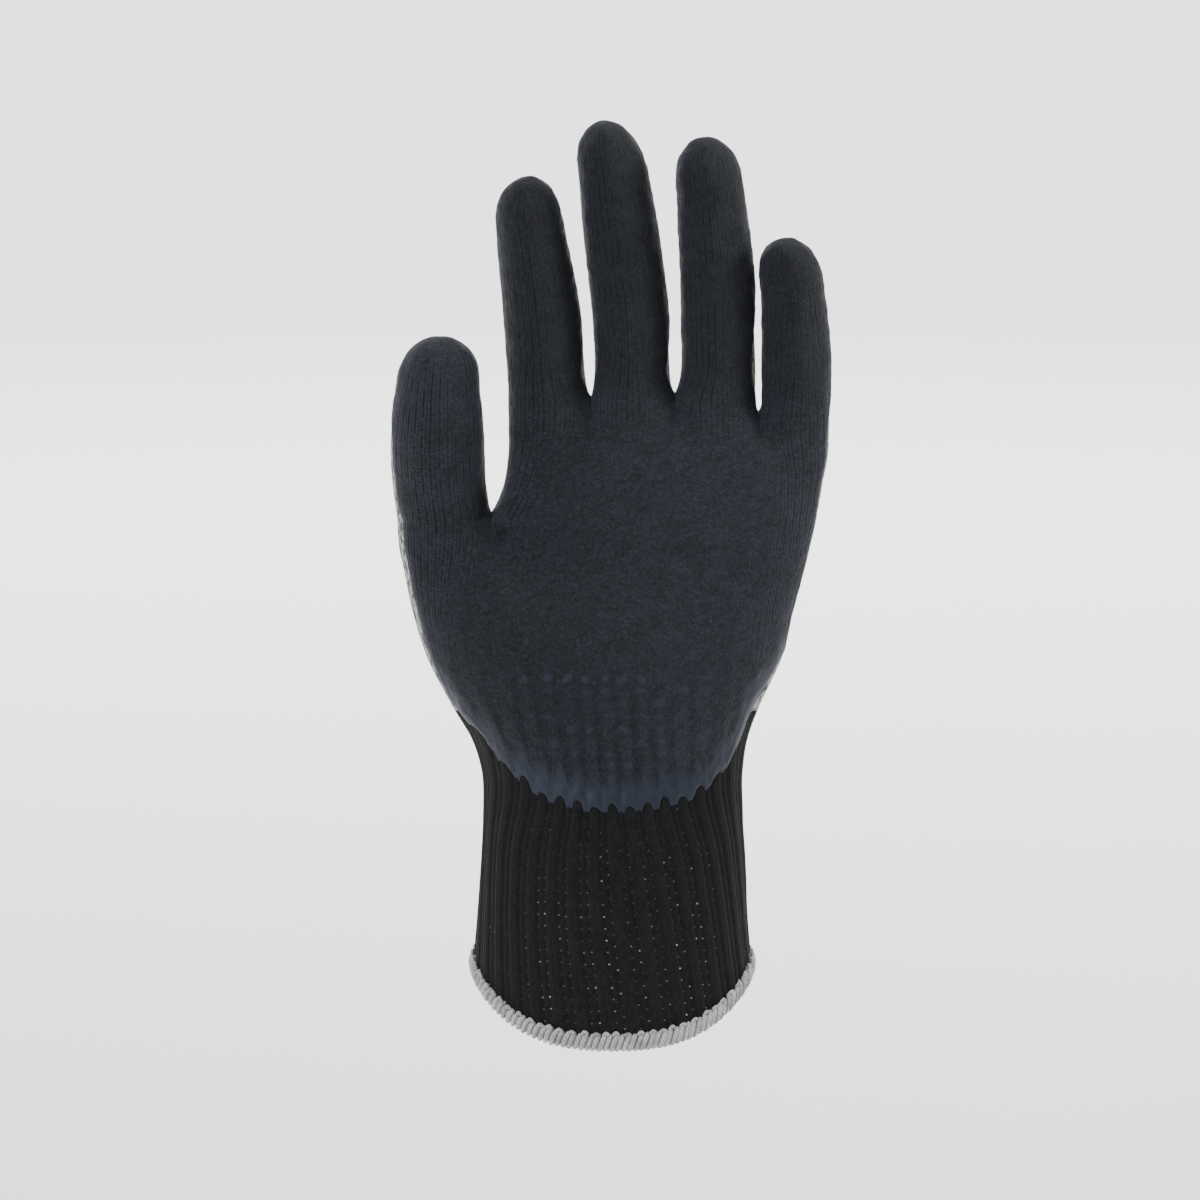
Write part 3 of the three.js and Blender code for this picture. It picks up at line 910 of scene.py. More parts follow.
def wall_from(name: str, outer: Array, inner: Array, surface: Surface, marks: dict[str, Array]) -> Thing:
    """Make a closed wall between an outer and an inner face of the same layout.

    Args:
        name: The object's name.
        outer: The outer face's points.
        inner: The inner face's points.
        surface: The layout: faces, with -1 for a corner that isn't there, and their pattern map.
        marks: Values for each point, which a shader reads.

    Returns:
        The object.
    """
    used = np.unique(surface.faces[surface.faces >= 0])
    count = len(used)
    renumber = np.full(len(outer), -1)
    renumber[used] = np.arange(count)
    rings = [renumber[face[face >= 0]].tolist() for face in surface.faces]
    corners = [flat[face >= 0] for face, flat in zip(surface.faces, surface.maps)]
    edges: dict[tuple[int, int], tuple[Array, Array]] = {}
    for ring, flat in zip(rings, corners):
        for k, a in enumerate(ring):
            after = (k + 1) % len(ring)
            edges[(a, ring[after])] = (flat[k], flat[after])
    faces = rings + [[k + count for k in reversed(ring)] for ring in rings]
    maps = corners + [flat[::-1] for flat in corners]
    for (a, b), (first, second) in edges.items():
        if (b, a) not in edges:
            faces.append([b, a, a + count, b + count])
            maps.append(np.array([second, first, first, second]))
    thing = make_object(name, np.concatenate([outer[used], inner[used]]), faces, np.concatenate(maps))
    for mark, values in marks.items():
        layer = thing.data.attributes.new(mark, "FLOAT", "POINT")
        layer.data.foreach_set("value", np.tile(values[used], 2).astype(np.float32))
    return thing


def cut_out(surface: Surface, snap: float = 0.07) -> Surface:
    """Keep the part of a surface whose reach is above zero, and cut the faces that cross its edge.

    Args:
        surface: The surface, with a reach for each point.
        snap: A point whose reach is smaller than this counts as lying on the edge.

    Returns:
        The part that is kept, with faces of up to five corners, and all marks read on it.
    """
    reach = np.where(np.abs(surface.marks["reach"]) < snap, 0.0, surface.marks["reach"])
    real = surface.faces >= 0
    held = np.where(real, reach[surface.faces], 1.0)
    some = ((held > 0) & real).any(1)
    whole = (held >= 0).all(1) & some
    values = {"places": surface.places, **surface.marks}
    added: dict[str, list[Array]] = {name: [] for name in values}
    known: dict[tuple[int, int], tuple[int, float]] = {}
    faces, maps = [], []
    for number in np.nonzero(~whole & some)[0]:
        ring = surface.faces[number][real[number]].tolist()
        flat = surface.maps[number]
        out, out_map = [], []
        for k, a in enumerate(ring):
            after = (k + 1) % len(ring)
            b = ring[after]
            if reach[a] >= 0:
                out.append(a)
                out_map.append(flat[k])
            if reach[a] * reach[b] < 0:
                low, high = min(a, b), max(a, b)
                if (low, high) not in known:
                    share = reach[low] / (reach[low] - reach[high])
                    known[low, high] = (len(surface.places) + len(known), share)
                    for name, data in values.items():
                        added[name].append(blend(share, data[low], data[high]))
                point, share = known[low, high]
                out.append(point)
                out_map.append(blend(share if a == low else 1 - share, flat[k], flat[after]))
        if len(out) >= 3:
            faces.append(out + [-1] * (5 - len(out)))
            maps.append(out_map + [out_map[0]] * (5 - len(out)))
    all_faces = np.concatenate([np.pad(surface.faces[whole], ((0, 0), (0, 1)), constant_values=-1), faces])
    kept_maps = surface.maps[whole]
    all_maps = np.concatenate([np.concatenate([kept_maps, kept_maps[:, :1]], 1), maps])
    marks = {name: np.concatenate([data, added[name]]) for name, data in values.items()}
    return Surface(marks.pop("places"), all_faces, all_maps, marks)


def strand_mesh(path: Array, away: Array, radius: Number, sides: int, loop: bool) -> Strand:
    """Make a round strand of yarn along a path.

    Args:
        path: The points of its middle.
        away: A direction out of the path at each point.
        radius: Its radius at each point.
        sides: How many sides it has.
        loop: Whether its end meets its start.

    Returns:
        Its points, its faces and the pattern map at their corners.
    """
    count = len(path)
    along = unit(np.roll(path, -1, 0) - np.roll(path, 1, 0) if loop else np.gradient(path, axis=0))
    out = unit(away - (away * along).sum(1, keepdims=True) * along)
    over = np.cross(along, out)
    turn = 2 * PI * np.arange(sides) / sides
    size = np.broadcast_to(np.asarray(radius, float), (count,))[:, None, None]
    ring = np.cos(turn)[None, :, None] * out[:, None] + np.sin(turn)[None, :, None] * over[:, None]
    points = (path[:, None] + size * ring).reshape(-1, 3)
    run = lengths(closed(path))
    faces, maps = [], []
    for k in range(count if loop else count - 1):
        n = (k + 1) % count
        for i in range(sides):
            j = (i + 1) % sides
            faces.append([k * sides + i, k * sides + j, n * sides + j, n * sides + i])
            low, high = i / sides, (i + 1) / sides
            maps.append([(low, run[k]), (high, run[k]), (high, run[k + 1]), (low, run[k + 1])])
    if not loop:
        faces.append(list(range(sides))[::-1])
        faces.append([(count - 1) * sides + i for i in range(sides)])
        maps.extend([[(0.0, 0.0)] * sides] * 2)
    return points, faces, maps


# Finishes


class Value:
    """One result in a material's nodes, which takes part in a sum like a number."""

    def __init__(self, recipe: Recipe, socket: Socket) -> None:
        """Keep the material and the output socket."""
        self.recipe = recipe
        self.socket = socket

    def __add__(self, other: Input) -> Value:
        """Add a value."""
        return self.recipe.math("ADD", self, other)

    def __sub__(self, other: Input) -> Value:
        """Take a value away."""
        return self.recipe.math("SUBTRACT", self, other)

    def __rsub__(self, other: float) -> Value:
        """Take it away from a number."""
        return self.recipe.math("SUBTRACT", other, self)

    def __mul__(self, other: Input) -> Value:
        """Multiply by a value."""
        return self.recipe.math("MULTIPLY", self, other)

    def __pow__(self, power: float) -> Value:
        """Raise it to a power."""
        return self.recipe.math("POWER", self, power)

    def __abs__(self) -> Value:
        """Drop its sign."""
        return self.recipe.math("ABSOLUTE", self)

    def floor(self) -> Value:
        """Round it down."""
        return self.recipe.math("FLOOR", self)

    def fract(self) -> Value:
        """Keep its part past the whole number."""
        return self.recipe.math("FRACT", self)

    def off_half(self) -> Value:
        """Measure how far its part past the whole number is from a half."""
        return abs(self.fract() - 0.5)

    def step(self, start: float, end: float) -> Value:
        """Run smoothly from 0 at start to 1 at end.

        Args:
            start: Where it is still 0.
            end: Where it reaches 1.

        Returns:
            The ramp.
        """
        node = self.recipe.nodes.new("ShaderNodeMapRange")
        node.interpolation_type = "SMOOTHSTEP"
        limits = {"From Min": min(start, end), "From Max": max(start, end)}
        limits |= {"To Min": float(start > end), "To Max": float(start < end)}
        for name, value in {"Value": self, **limits}.items():
            self.recipe.feed(node.inputs[name], value)
        return Value(self.recipe, node.outputs[0])


Input = Value | float | Colour


class Recipe:
    """A material in the making: short names for the nodes that a finish is put together from."""

    def __init__(self, name: str) -> None:
        """Start an empty material.

        Args:
            name: The material's name.
        """
        self.material = bpy.data.materials.new(name)
        self.material.use_nodes = True
        self.nodes = self.material.node_tree.nodes
        self.shader = self.nodes["Principled BSDF"]

    def feed(self, socket: Socket, value: Input) -> None:
        """Set a socket to a number or a colour, or link a value to it.

        Args:
            socket: The socket that takes it.
            value: What it takes.
        """
        if isinstance(value, Value):
            self.material.node_tree.links.new(value.socket, socket)
        else:
            socket.default_value = value

    def math(self, kind: str, *values: Input) -> Value:
        """Add a Math node.

        Args:
            kind: Its operation.
            values: Its inputs.

        Returns:
            Its result.
        """
        node = self.nodes.new("ShaderNodeMath")
        node.operation = kind
        for socket, value in zip(node.inputs, values):
            self.feed(socket, value)
        return Value(self, node.outputs[0])

    def mix(self, share: Value, a: Input, b: Input) -> Value:
        """Mix two colours.

        Args:
            share: How much of the second.
            a: The first colour.
            b: The second colour.

        Returns:
            The mixed colour.
        """
        node = self.nodes.new("ShaderNodeMix")
        node.data_type = "RGBA"
        for number, value in ((0, share), (6, a), (7, b)):
            self.feed(node.inputs[number], value)
        return Value(self, node.outputs[2])

    def split(self, value: Value) -> tuple[Value, Value]:
        """Read the first two parts of a vector.

        Args:
            value: The vector.

        Returns:
            Its x and y.
        """
        node = self.nodes.new("ShaderNodeSeparateXYZ")
        self.feed(node.inputs[0], value)
        return Value(self, node.outputs[0]), Value(self, node.outputs[1])

    def place(self) -> Value:
        """Read the Object coordinates, in metres."""
        return Value(self, self.nodes.new("ShaderNodeTexCoord").outputs["Object"])

    def across(self) -> Value:
        """Read how far to the right a point lies, in metres."""
        return self.split(self.place())[0]

    def knit_map(self) -> tuple[Value, Value]:
        """Read the piece's own pattern map.

        Returns:
            The wale number, and the height along the knit in millimetres.
        """
        node = self.nodes.new("ShaderNodeUVMap")
        node.uv_map = "knit"
        return self.split(Value(self, node.outputs["UV"]))

    def mark(self, name: str) -> Value:
        """Read a value that the mesh keeps for each point.

        Args:
            name: The value's name.

        Returns:
            The value.
        """
        node = self.nodes.new("ShaderNodeAttribute")
        node.attribute_name = name
        return Value(self, node.outputs["Fac"])

    def noise(self, scale: float, detail: float, rough: float, where: Value | None = None) -> Value:
        """Add a noise texture.

        Args:
            scale: Its lumps per metre.
            detail: How many finer layers it has.
            rough: How strong they are.
            where: The coordinates, Object coordinates when left out.

        Returns:
            Its value, 0 to 1.
        """
        node = self.nodes.new("ShaderNodeTexNoise")
        settings = {"Scale": scale, "Detail": detail, "Roughness": rough, "Vector": where or self.place()}
        for name, value in settings.items():
            self.feed(node.inputs[name], value)
        return Value(self, node.outputs[0])

    def slanted(self, scale: float) -> Value:
        """Turn the Object coordinates by 0.42 radians in the palm's plane and stretch them.

        Args:
            scale: The scale along the turned height.

        Returns:
            The coordinates.
        """
        where = self.place()
        for name, value in (("Rotation", (0.0, 0.42, 0.0)), ("Scale", (1.0, 1.0, scale))):
            node = self.nodes.new("ShaderNodeMapping")
            node.inputs[name].default_value = value
            self.feed(node.inputs["Vector"], where)
            where = Value(self, node.outputs[0])
        return where

    def scatter(self, u: Input, v: Input) -> Value:
        """Give each cell of a pattern its own random number.

        Args:
            u: The cell's number one way.
            v: The cell's number the other way.

        Returns:
            The random number, 0 to 1.
        """
        join = self.nodes.new("ShaderNodeCombineXYZ")
        self.feed(join.inputs[0], u)
        self.feed(join.inputs[1], v)
        node = self.nodes.new("ShaderNodeTexWhiteNoise")
        node.noise_dimensions = "2D"
        self.feed(node.inputs["Vector"], Value(self, join.outputs[0]))
        return Value(self, node.outputs["Value"])

    def stitches(self, u: Value, v: Value, course: float) -> tuple[Value, Value, Value]:
        """Lay a knit's V-shaped stitches over a pattern map.

        Args:
            u: The wale number.
            v: The height along the knit, in millimetres.
            course: The height of a course, in millimetres.

        Returns:
            The stitches' height, the number of the half wale, and the number of the leg in it.
        """
        off = u.off_half() * 2.0
        rise = v * (1.0 / course) + off * -0.85
        belly = off * 4.0 * (1.0 - off)
        height = self.math("SINE", rise.fract() * PI) ** 0.6 * (belly * 0.75 + 0.25)
        return height, (u * 2.0).floor(), rise.floor()

    def surface(self, tone: Value, rough: Input, specular: float, sheen: float, sheen_rough: float) -> None:
        """Set what the shader shows.

        Args:
            tone: The colour.
            rough: The roughness.
            specular: The specular level.
            sheen: The strength of the sheen.
            sheen_rough: The sheen's roughness.
        """
        names = ("Base Color", "Roughness", "Specular IOR Level", "Sheen Weight", "Sheen Roughness")
        for name, value in zip(names, (tone, rough, specular, sheen, sheen_rough)):
            self.feed(self.shader.inputs[name], value)

    def bump(self, height: Value, depth: float, strength: float) -> bpy.types.Material:
        """Give the shader a bump, which completes the material.

        Args:
            height: The height, 0 to 1.
            depth: How many metres a height of 1 stands for.
            strength: How much of it shows.

        Returns:
            The material.
        """
        node = self.nodes.new("ShaderNodeBump")
        for name, value in (("Strength", strength), ("Distance", depth), ("Height", height)):
            self.feed(node.inputs[name], value)
        self.feed(self.shader.inputs["Normal"], Value(self, node.outputs["Normal"]))
        return self.material


@dataclass(frozen=True)
class CoatingFinish:
    """Foamed nitrile: matt, finely crinkled, with the knit's lines showing through."""

    name: str = "foamed_coating_finish"
    deep: Colour = colour(13, 15, 19)
    # The fingers' darker coat: partly its own tone, partly painted shade
    black: Colour = colour(17, 17, 17)
    pale: Colour = colour(39, 44, 53)
    blue: Colour = colour(44, 50, 66)
    film: Colour = colour(40, 46, 58)
    sheen_tint: Colour = (0.75, 0.82, 1.0, 1.0)
    course: float = 0.95

    def make(self) -> bpy.types.Material:
        """Build the material.

        Returns:
            The material.
        """
        r = Recipe(self.name)
        u, v = r.knit_map()
        across, lined, finger = r.across(), r.mark("lined"), r.mark("finger")
        side = abs(across).step(0.016, 0.033)
        above = r.mark("above_edge") * (side + 1.0)
        film, bare = above.step(10.5, 4.5), above.step(4.0, 11.0)
        grain, fine = r.noise(1050, 4.0, 0.68), r.noise(2700, 3.0, 0.7)
        shows = r.noise(110, 2.0, 0.5).step(0.3, 0.68)
        knit = r.stitches(u, v, self.course)[0] * (shows * 0.5 + 0.3) * (lined * 0.55 + 0.45)
        wrinkle = r.noise(330, 4.0, 0.65, r.slanted(1.35)) * (lined * -0.6 + 1.1)
        groove = (u + 0.5).off_half().step(0.22, 0.02) * r.noise(190, 2.0, 0.6).step(0.38, 0.62)
        groove = groove * lined * 0.75
        spots = self.spots(r, v, across)
        # The grain and fine noise are the coat's own mottle; the stitches' crests are painted lighter and
        # the wale grooves darker, as painted light and shade on the knit's relief
        shade = grain * 0.66 + fine * 0.34 + knit * (lined * 0.2 + 0.12) - groove * 0.16
        tone = r.mix(shade.step(0.46, 0.72), self.deep, self.pale)
        # The fingers' coat is darkened all over: partly its own darker tone, partly painted shade for the
        # shade that falls between the fingers
        tone = r.mix(finger * 0.45, tone, self.black)
        # The blue streaks are the coat's own mottle; their strengthening towards the palm's right side is a
        # painted sheen where the light falls from the right
        blue_share_and_right_sheen = (across.step(-0.03, 0.04) * 0.3 + 0.24) * (lined * -0.5 + 1.0) * (finger * -0.6 + 1.0)
        streaks = r.noise(260, 8.0, 0.85, r.slanted(1.5)).step(0.36, 0.72)
        tone = r.mix(streaks * blue_share_and_right_sheen, tone, self.blue)
        tone = r.mix(spots * bare * 0.75, tone, self.blue)
        # The pale thin film along the coating's lower edge; its share is cut at the left and right sides as
        # painted shade
        tone = r.mix(film * (side * -0.4 + 0.8), tone, self.film)
        r.surface(tone, grain * 0.2 + 0.42, 0.18, 0.04, 0.5)
        r.shader.inputs["Sheen Tint"].default_value = self.sheen_tint
        height = grain * 0.8 + fine * 0.3 + knit * 0.45 - groove * 0.3 + wrinkle + spots * 0.8
        return r.bump(height * (bare * 0.8 + 0.2), 0.00075, 1.0)

    @staticmethod
    def spots(r: Recipe, v: Value, across: Value) -> Value:
        """Lay the pale spots in columns on the cuff's ribs, with the brightest row at the top.

        Args:
            r: The material.
            v: The height, in millimetres.
            across: The place across, in metres.

        Returns:
            The spots' strength, 0 to 1.
        """
        drift = r.noise(230, 2.0, 0.5) - 0.5
        rib = drift * 0.7 + r.mark("rib")
        row = (drift * 3.0 + v) * (1 / 3.4) - 104.9 / 3.4
        spot = rib.off_half().step(0.4, 0.0) * row.off_half().step(0.5, 0.0)
        lucky = r.scatter(rib.floor(), row.floor()) ** 1.3
        top_row = v.step(101.2, 101.8) * across.step(0.016, 0.004)
        spot = spot * r.math("MAXIMUM", lucky * 0.7, top_row)
        return spot * abs(across).step(0.034, 0.018) * v.step(105.6, 104.6)


@dataclass(frozen=True)
class LinerFinish:
    """Heather knit: each stitch leg is pale, grey or dark."""

    name: str = "heather_knit_finish"
    pale: Colour = colour(206, 206, 203)
    grey: Colour = colour(138, 138, 138)
    # The heather's dark yarn, also used as painted shade in the stitch hollows
    dark: Colour = colour(34, 34, 36)
    course: float = 1.15

    def make(self) -> bpy.types.Material:
        """Build the material.

        Returns:
            The material.
        """
        r = Recipe(self.name)
        height, half_wale, leg = r.stitches(*r.knit_map(), self.course)
        mixed = r.scatter(half_wale, leg) * 0.62 + r.noise(900, 3.0, 0.7) * 0.55
        tone = r.mix(mixed.step(0.36, 0.62), self.dark, self.grey)
        tone = r.mix(mixed.step(0.5, 0.82), tone, self.pale)
        # Painted shade: the low parts of each stitch, between its legs, are darkened
        tone = r.mix(height.step(0.0, 0.45), self.dark, tone)
        r.surface(tone, 0.9, 0.2, 0.25, 0.6)
        return r.bump(height + r.noise(2600, 2.0, 0.6) * 0.25, 0.0006, 0.9)


@dataclass(frozen=True)
class CuffFinish:
    """Black rib knit, with pale elastic thread that shows as dots along the creases."""

    name: str = "rib_knit_finish"
    yarn: Colour = colour(26, 27, 29)
    # Darker yarn, also used as painted shade in the stitch hollows and at the cuff's sides
    shade: Colour = colour(16, 16, 17)
    elastic: Colour = colour(176, 176, 180)
    course: float = 1.2
    wales: float = 3.0
    dot_pitch: float = 3.35

    def make(self) -> bpy.types.Material:
        """Build the material.

        Returns:
            The material.
        """
        r = Recipe(self.name)
        u, v = r.knit_map()
        height, half_wale, leg = r.stitches(u * self.wales + 0.5, v, self.course)
        streak = r.noise(1500, 3.0, 0.7) * 0.8 + r.scatter(half_wale, leg) * 0.3
        tone = r.mix(streak.step(0.3, 0.8), self.shade, self.yarn)
        # Painted shade: the low parts of each stitch are darkened
        tone = r.mix(height.step(0.4, 0.0) * 0.6, tone, self.shade)
        # Painted shade: the yarn is darkened towards the cuff's left and right sides
        tone = r.mix(abs(r.across()).step(0.008, 0.026) * 0.5, tone, self.shade)
        crease = abs((u + 0.5).off_half() - 0.165)
        row = v * (1 / self.dot_pitch) + r.scatter(u.floor(), 7.0) * 0.8
        near = (crease * 5.4) ** 2.0 + (row.off_half() * self.dot_pitch) ** 2.0
        half_rib = ((u + 0.5) * 2.0).floor()
        lucky = r.scatter(half_rib, row.floor()) ** 3.0
        bright_rib = r.scatter(half_rib, 3.0) ** 1.5
        lit = near.step(0.075, 0.02) * (lucky * (bright_rib * 0.8 + 0.25) + 0.06)
        tone = r.mix(lit * r.mark("elastic"), tone, self.elastic)
        r.surface(tone, 0.88, 0.12, 0.04, 0.55)
        return r.bump(height * 0.5 + r.noise(2400, 3.0, 0.7) * 0.8, 0.0003, 0.8)


@dataclass(frozen=True)
class ThreadFinish:
    """Pale grey overlock thread, bulky and a little fuzzy."""

    name: str = "overlock_thread_finish"
    pale: Colour = colour(192, 193, 194)
    # The thread's duller tone, also used as painted shade in the grooves between the plies
    dull: Colour = colour(112, 113, 114)

    def make(self) -> bpy.types.Material:
        """Build the material.

        Returns:
            The material.
        """
        r = Recipe(self.name)
        u, v = r.knit_map()
        ply = (u * 3.0 + v * 0.9).off_half().step(0.5, 0.28)
        fibre = r.noise(2400, 3.0, 0.7)
        share = fibre * 0.6 + r.noise(260, 2.0, 0.5) * 0.5
        tone = r.mix(share.step(0.3, 0.75), self.dull, self.pale)
        # Painted shade in the grooves between the thread's plies
        tone = r.mix((1.0 - ply) * 0.45, tone, self.dull)
        r.surface(tone, 0.92, 0.2, 0.3, 0.6)
        return r.bump(ply + fibre * 0.5, 0.00022, 0.8)


# Pieces


class Piece:
    """A visible piece of the glove: its name, its finish, its slot and the CAD nodes it stands for."""

    name: ClassVar[str]
    finish: ClassVar[CoatingFinish | LinerFinish | CuffFinish | ThreadFinish]
    slot: ClassVar[str]
    nodes: ClassVar[tuple[str, ...]]

    def build(self) -> Thing:
        """Build the piece's mesh."""
        raise NotImplementedError

    def dress(self, thing: Thing) -> None:
        """Give the piece its finish and its place in the frame.

        Args:
            thing: The piece's object.
        """
        thing.data.materials.append(self.finish.make())
        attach(thing, "root")
        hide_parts(*self.nodes)


@dataclass
class KnitHand(Piece):
    """The seamless knit hand under the coating, open at the wrist."""

    name = "heather_knit_hand"
    finish = LinerFinish()
    slot = "liner_knit"
    nodes = ("knit_palm", "thumb_stall", "index_stall", "middle_stall", "ring_stall", "little_stall")
    finger_columns: int = 24
    thumb_columns: int = 32
    row: float = 1.3
    lowest: float = 91.6
    wall: float = 0.9

    def build(self) -> Thing:
        """Build the hand's knit wall.

        Returns:
            The piece.
        """
        surface = HandWeaver(self.finger_columns, self.thumb_columns, self.row, self.lowest).build()
        normal = surface.normals()
        ribs = RIBS.fading(surface.ribs_passed(), surface.places[:, 2])
        covered, _ = DIP.reach(surface)
        relief = np.where(surface.marks["zone"] == 0, ribs, 0) - 0.35 * ramp(1.0, 4.0, covered)
        outer = surface.places + normal * relief[:, None]
        inner = surface.places + normal * (relief - self.wall)[:, None]
        return wall_from(self.name, outer, inner, surface, {})


@dataclass
class RibbedCuff(Piece):
    """The black ribbed cuff, from the wrist to the hem, whose columns follow the ribs."""

    name = "ribbed_cuff"
    finish = CuffFinish()
    slot = "cuff_knit"
    nodes = ("rib_cuff",)
    columns_per_rib: int = 12
    row: float = 1.15
    top: float = 94.0
    wall: float = 0.9
    above_hem: float = 1.2

    def build(self) -> Thing:
        """Build the cuff's ribbed wall.

        Returns:
            The piece.
        """
        columns = RIBS.count * self.columns_per_rib
        turn = np.arange(columns) / self.columns_per_rib
        bottom = np.full(columns, 8.0)
        for _ in range(3):
            bottom = Hem.height(bottom, *RIBS.locate(bottom, turn)) + self.above_hem
        steps = round((self.top - 6) / self.row)
        levels = [bottom + (self.top - bottom) * k / steps for k in range(steps + 1)]
        spots = [RIBS.locate(z, turn) for z in levels]
        places = np.concatenate([HAND.place(z, *spot) for z, spot in zip(levels, spots)])
        rows = list(np.arange(len(places)).reshape(-1, columns))
        u = np.append(turn, RIBS.count)
        surface = Surface(places, *weave(rows, [np.stack([u, closed(z)], -1) for z in levels]))
        normal = surface.normals()
        z = places[:, 2]
        share, back = (np.concatenate(parts) for parts in zip(*spots))
        relief = RIBS.height(np.tile(turn, steps + 1)) * RIBS.depth - 0.5 * ramp(91.2, 92.4, z)
        relief = relief + 0.12 * wander(places, 9.0, 4.0)
        outer = places + normal * relief[:, None]
        inner = places + normal * (relief - self.wall)[:, None]
        centre = ramp(0.2, 0.34, share) * ramp(0.84, 0.72, share)
        spread = centre * ramp(66, 42, z + 14 * (0.5 - share)) * (1 - 0.4 * back)
        stray = 0.3 * ramp(0.25, 0.4, wander(places, 6.0, 8.0))
        return wall_from(self.name, outer, inner, surface, {"elastic": np.maximum(spread, stray)})


@dataclass
class Hem(Piece):
    """The overlocked hem: thread wrapped over the knit's edge, with a loop at each stitch."""

    name = "overlock_hem_thread"
    finish = ThreadFinish()
    slot = "hem_thread"
    nodes = ("overlock_hem",)
    stitches: int = 63
    loops: int = 68
    half_width: float = 1.2
    half_height: float = 1.95
    strand: float = 0.72
    loop_strand: float = 0.46
    loop_span: float = 0.5
    steps: int = 12
    sides: int = 6
    core_steps: int = 150
    core_sides: int = 8

    @staticmethod
    def height(z: Array, share: Array, back: Array) -> Array:
        """Read the height of the hem's middle line at places on the hand.

        Args:
            z: The heights from which their angles are taken.
            share: The shares of the way from left to right.
            back: True for a place on the back.

        Returns:
            The heights.
        """
        angle = np.where(back, -1, 1) * HAND.angle(z, share)
        return 2.4 + 13.0 * np.abs(np.cos(angle)) ** 2.8 + 6.5 * (1 + np.sin(angle)) / 2

    def line(self, turn: Array) -> tuple[Array, Array]:
        """Find points on the hem's middle line.

        Args:
            turn: The way round as a share, 0 at the thumb's side and rising over the palm side.

        Returns:
            The points, and the level direction out of the wrist at each of them.
        """
        around = np.mod(turn, 1.0) * 2
        back = around >= 1
        share = np.where(back, 2 - around, around)
        z = np.full(len(turn), 8.0)
        for _ in range(3):
            z = self.height(z, share, back)
        ahead, behind = (HAND.place(z, np.clip(share + step, 0, 1), back) for step in (1e-3, -1e-3))
        out = unit(np.cross((ahead - behind) * np.where(back, -1, 1)[:, None], UP))
        return HAND.place(z, share, back) - out * 0.55, out

    def wrapping(self) -> Strand:
        """Build the thread that is wound round the edge.

        Returns:
            Its points, its faces and the pattern map at their corners.
        """
        wraps = self.stitches * 2
        wrap = np.arange(wraps * self.steps) / self.steps
        pair = np.mod(wrap, 2.0)
        even = np.where(pair < 1, pair * 0.9, 0.9 + (pair - 1) * 1.1)
        turn = (np.floor(wrap / 2) * 2 + even) / wraps
        wobble = 0.16 * wander(np.stack([wrap * 1.3, wrap * 0, wrap * 0], 1), 1.0, 2.0)
        spin = 2 * PI * wrap + 0.6
        middle, out = self.line(turn + 0.32 * np.sin(spin) / wraps)
        flat = self.half_width * bent(np.cos(spin), 0.8) + wobble * 0.5
        tall = self.half_height * bent(np.sin(spin), 0.8) + wobble
        path = middle + out * flat[:, None] + UP * tall[:, None]
        thick = self.strand * (1 + 0.1 * np.sin(wrap * 2.4))
        return strand_mesh(path, path - middle, thick, self.sides, True)

    def core(self) -> Strand:
        """Build the plain ring that fills the wound thread.

        Returns:
            Its points, its faces and the pattern map at their corners.
        """
        count, sides = self.core_steps, self.core_sides
        middle, out = self.line(np.arange(count) / count)
        angle = 2 * PI * np.arange(sides) / sides
        flat = out[:, None] * (np.cos(angle) * self.half_width)[:, None]
        tall = UP * (np.sin(angle) * self.half_height)[:, None]
        ring = (middle[:, None] + flat + tall).reshape(-1, 3)
        faces = [
            [k * sides + i, n * sides + i, n * sides + j, k * sides + j]
            for k, n in zip(range(count), [*range(1, count), 0])
            for i, j in zip(range(sides), [*range(1, sides), 0])
        ]
        return ring, faces, [[(0.0, 0.0)] * 4] * len(faces)

    def loop(self, number: int) -> Strand:
        """Build one small loop of thread on top of the hem.

        Args:
            number: Which loop it is.

        Returns:
            Its points, its faces and the pattern map at their corners.
        """
        share = (number + 0.5 + 0.15 * math.sin(number * 5.1)) / self.loops
        base, out = self.line(share + np.linspace(-0.5, 0.5, 6) / self.loops * self.loop_span)
        arch = np.sin(np.linspace(0, PI, 6))
        lift = self.half_height + 0.1 + (0.7 + 0.25 * math.sin(number * 2.3 + 1)) * arch
        path = base + UP * lift[:, None] + out * (self.half_width * 0.6 + 0.3 * arch)[:, None]
        return strand_mesh(path, out + UP, self.loop_strand, self.sides, False)

    def build(self) -> Thing:
        """Build the wrapped thread, its core and its loops.

        Returns:
            The piece.
        """
        places, faces, maps, total = [], [], [], 0
        for part in (self.wrapping(), self.core(), *map(self.loop, range(self.loops))):
            places.append(part[0])
            faces.extend([i + total for i in face] for face in part[1])
            maps.extend(corner for face in part[2] for corner in face)
            total += len(part[0])
        return make_object(self.name, np.concatenate(places), faces, np.array(maps))


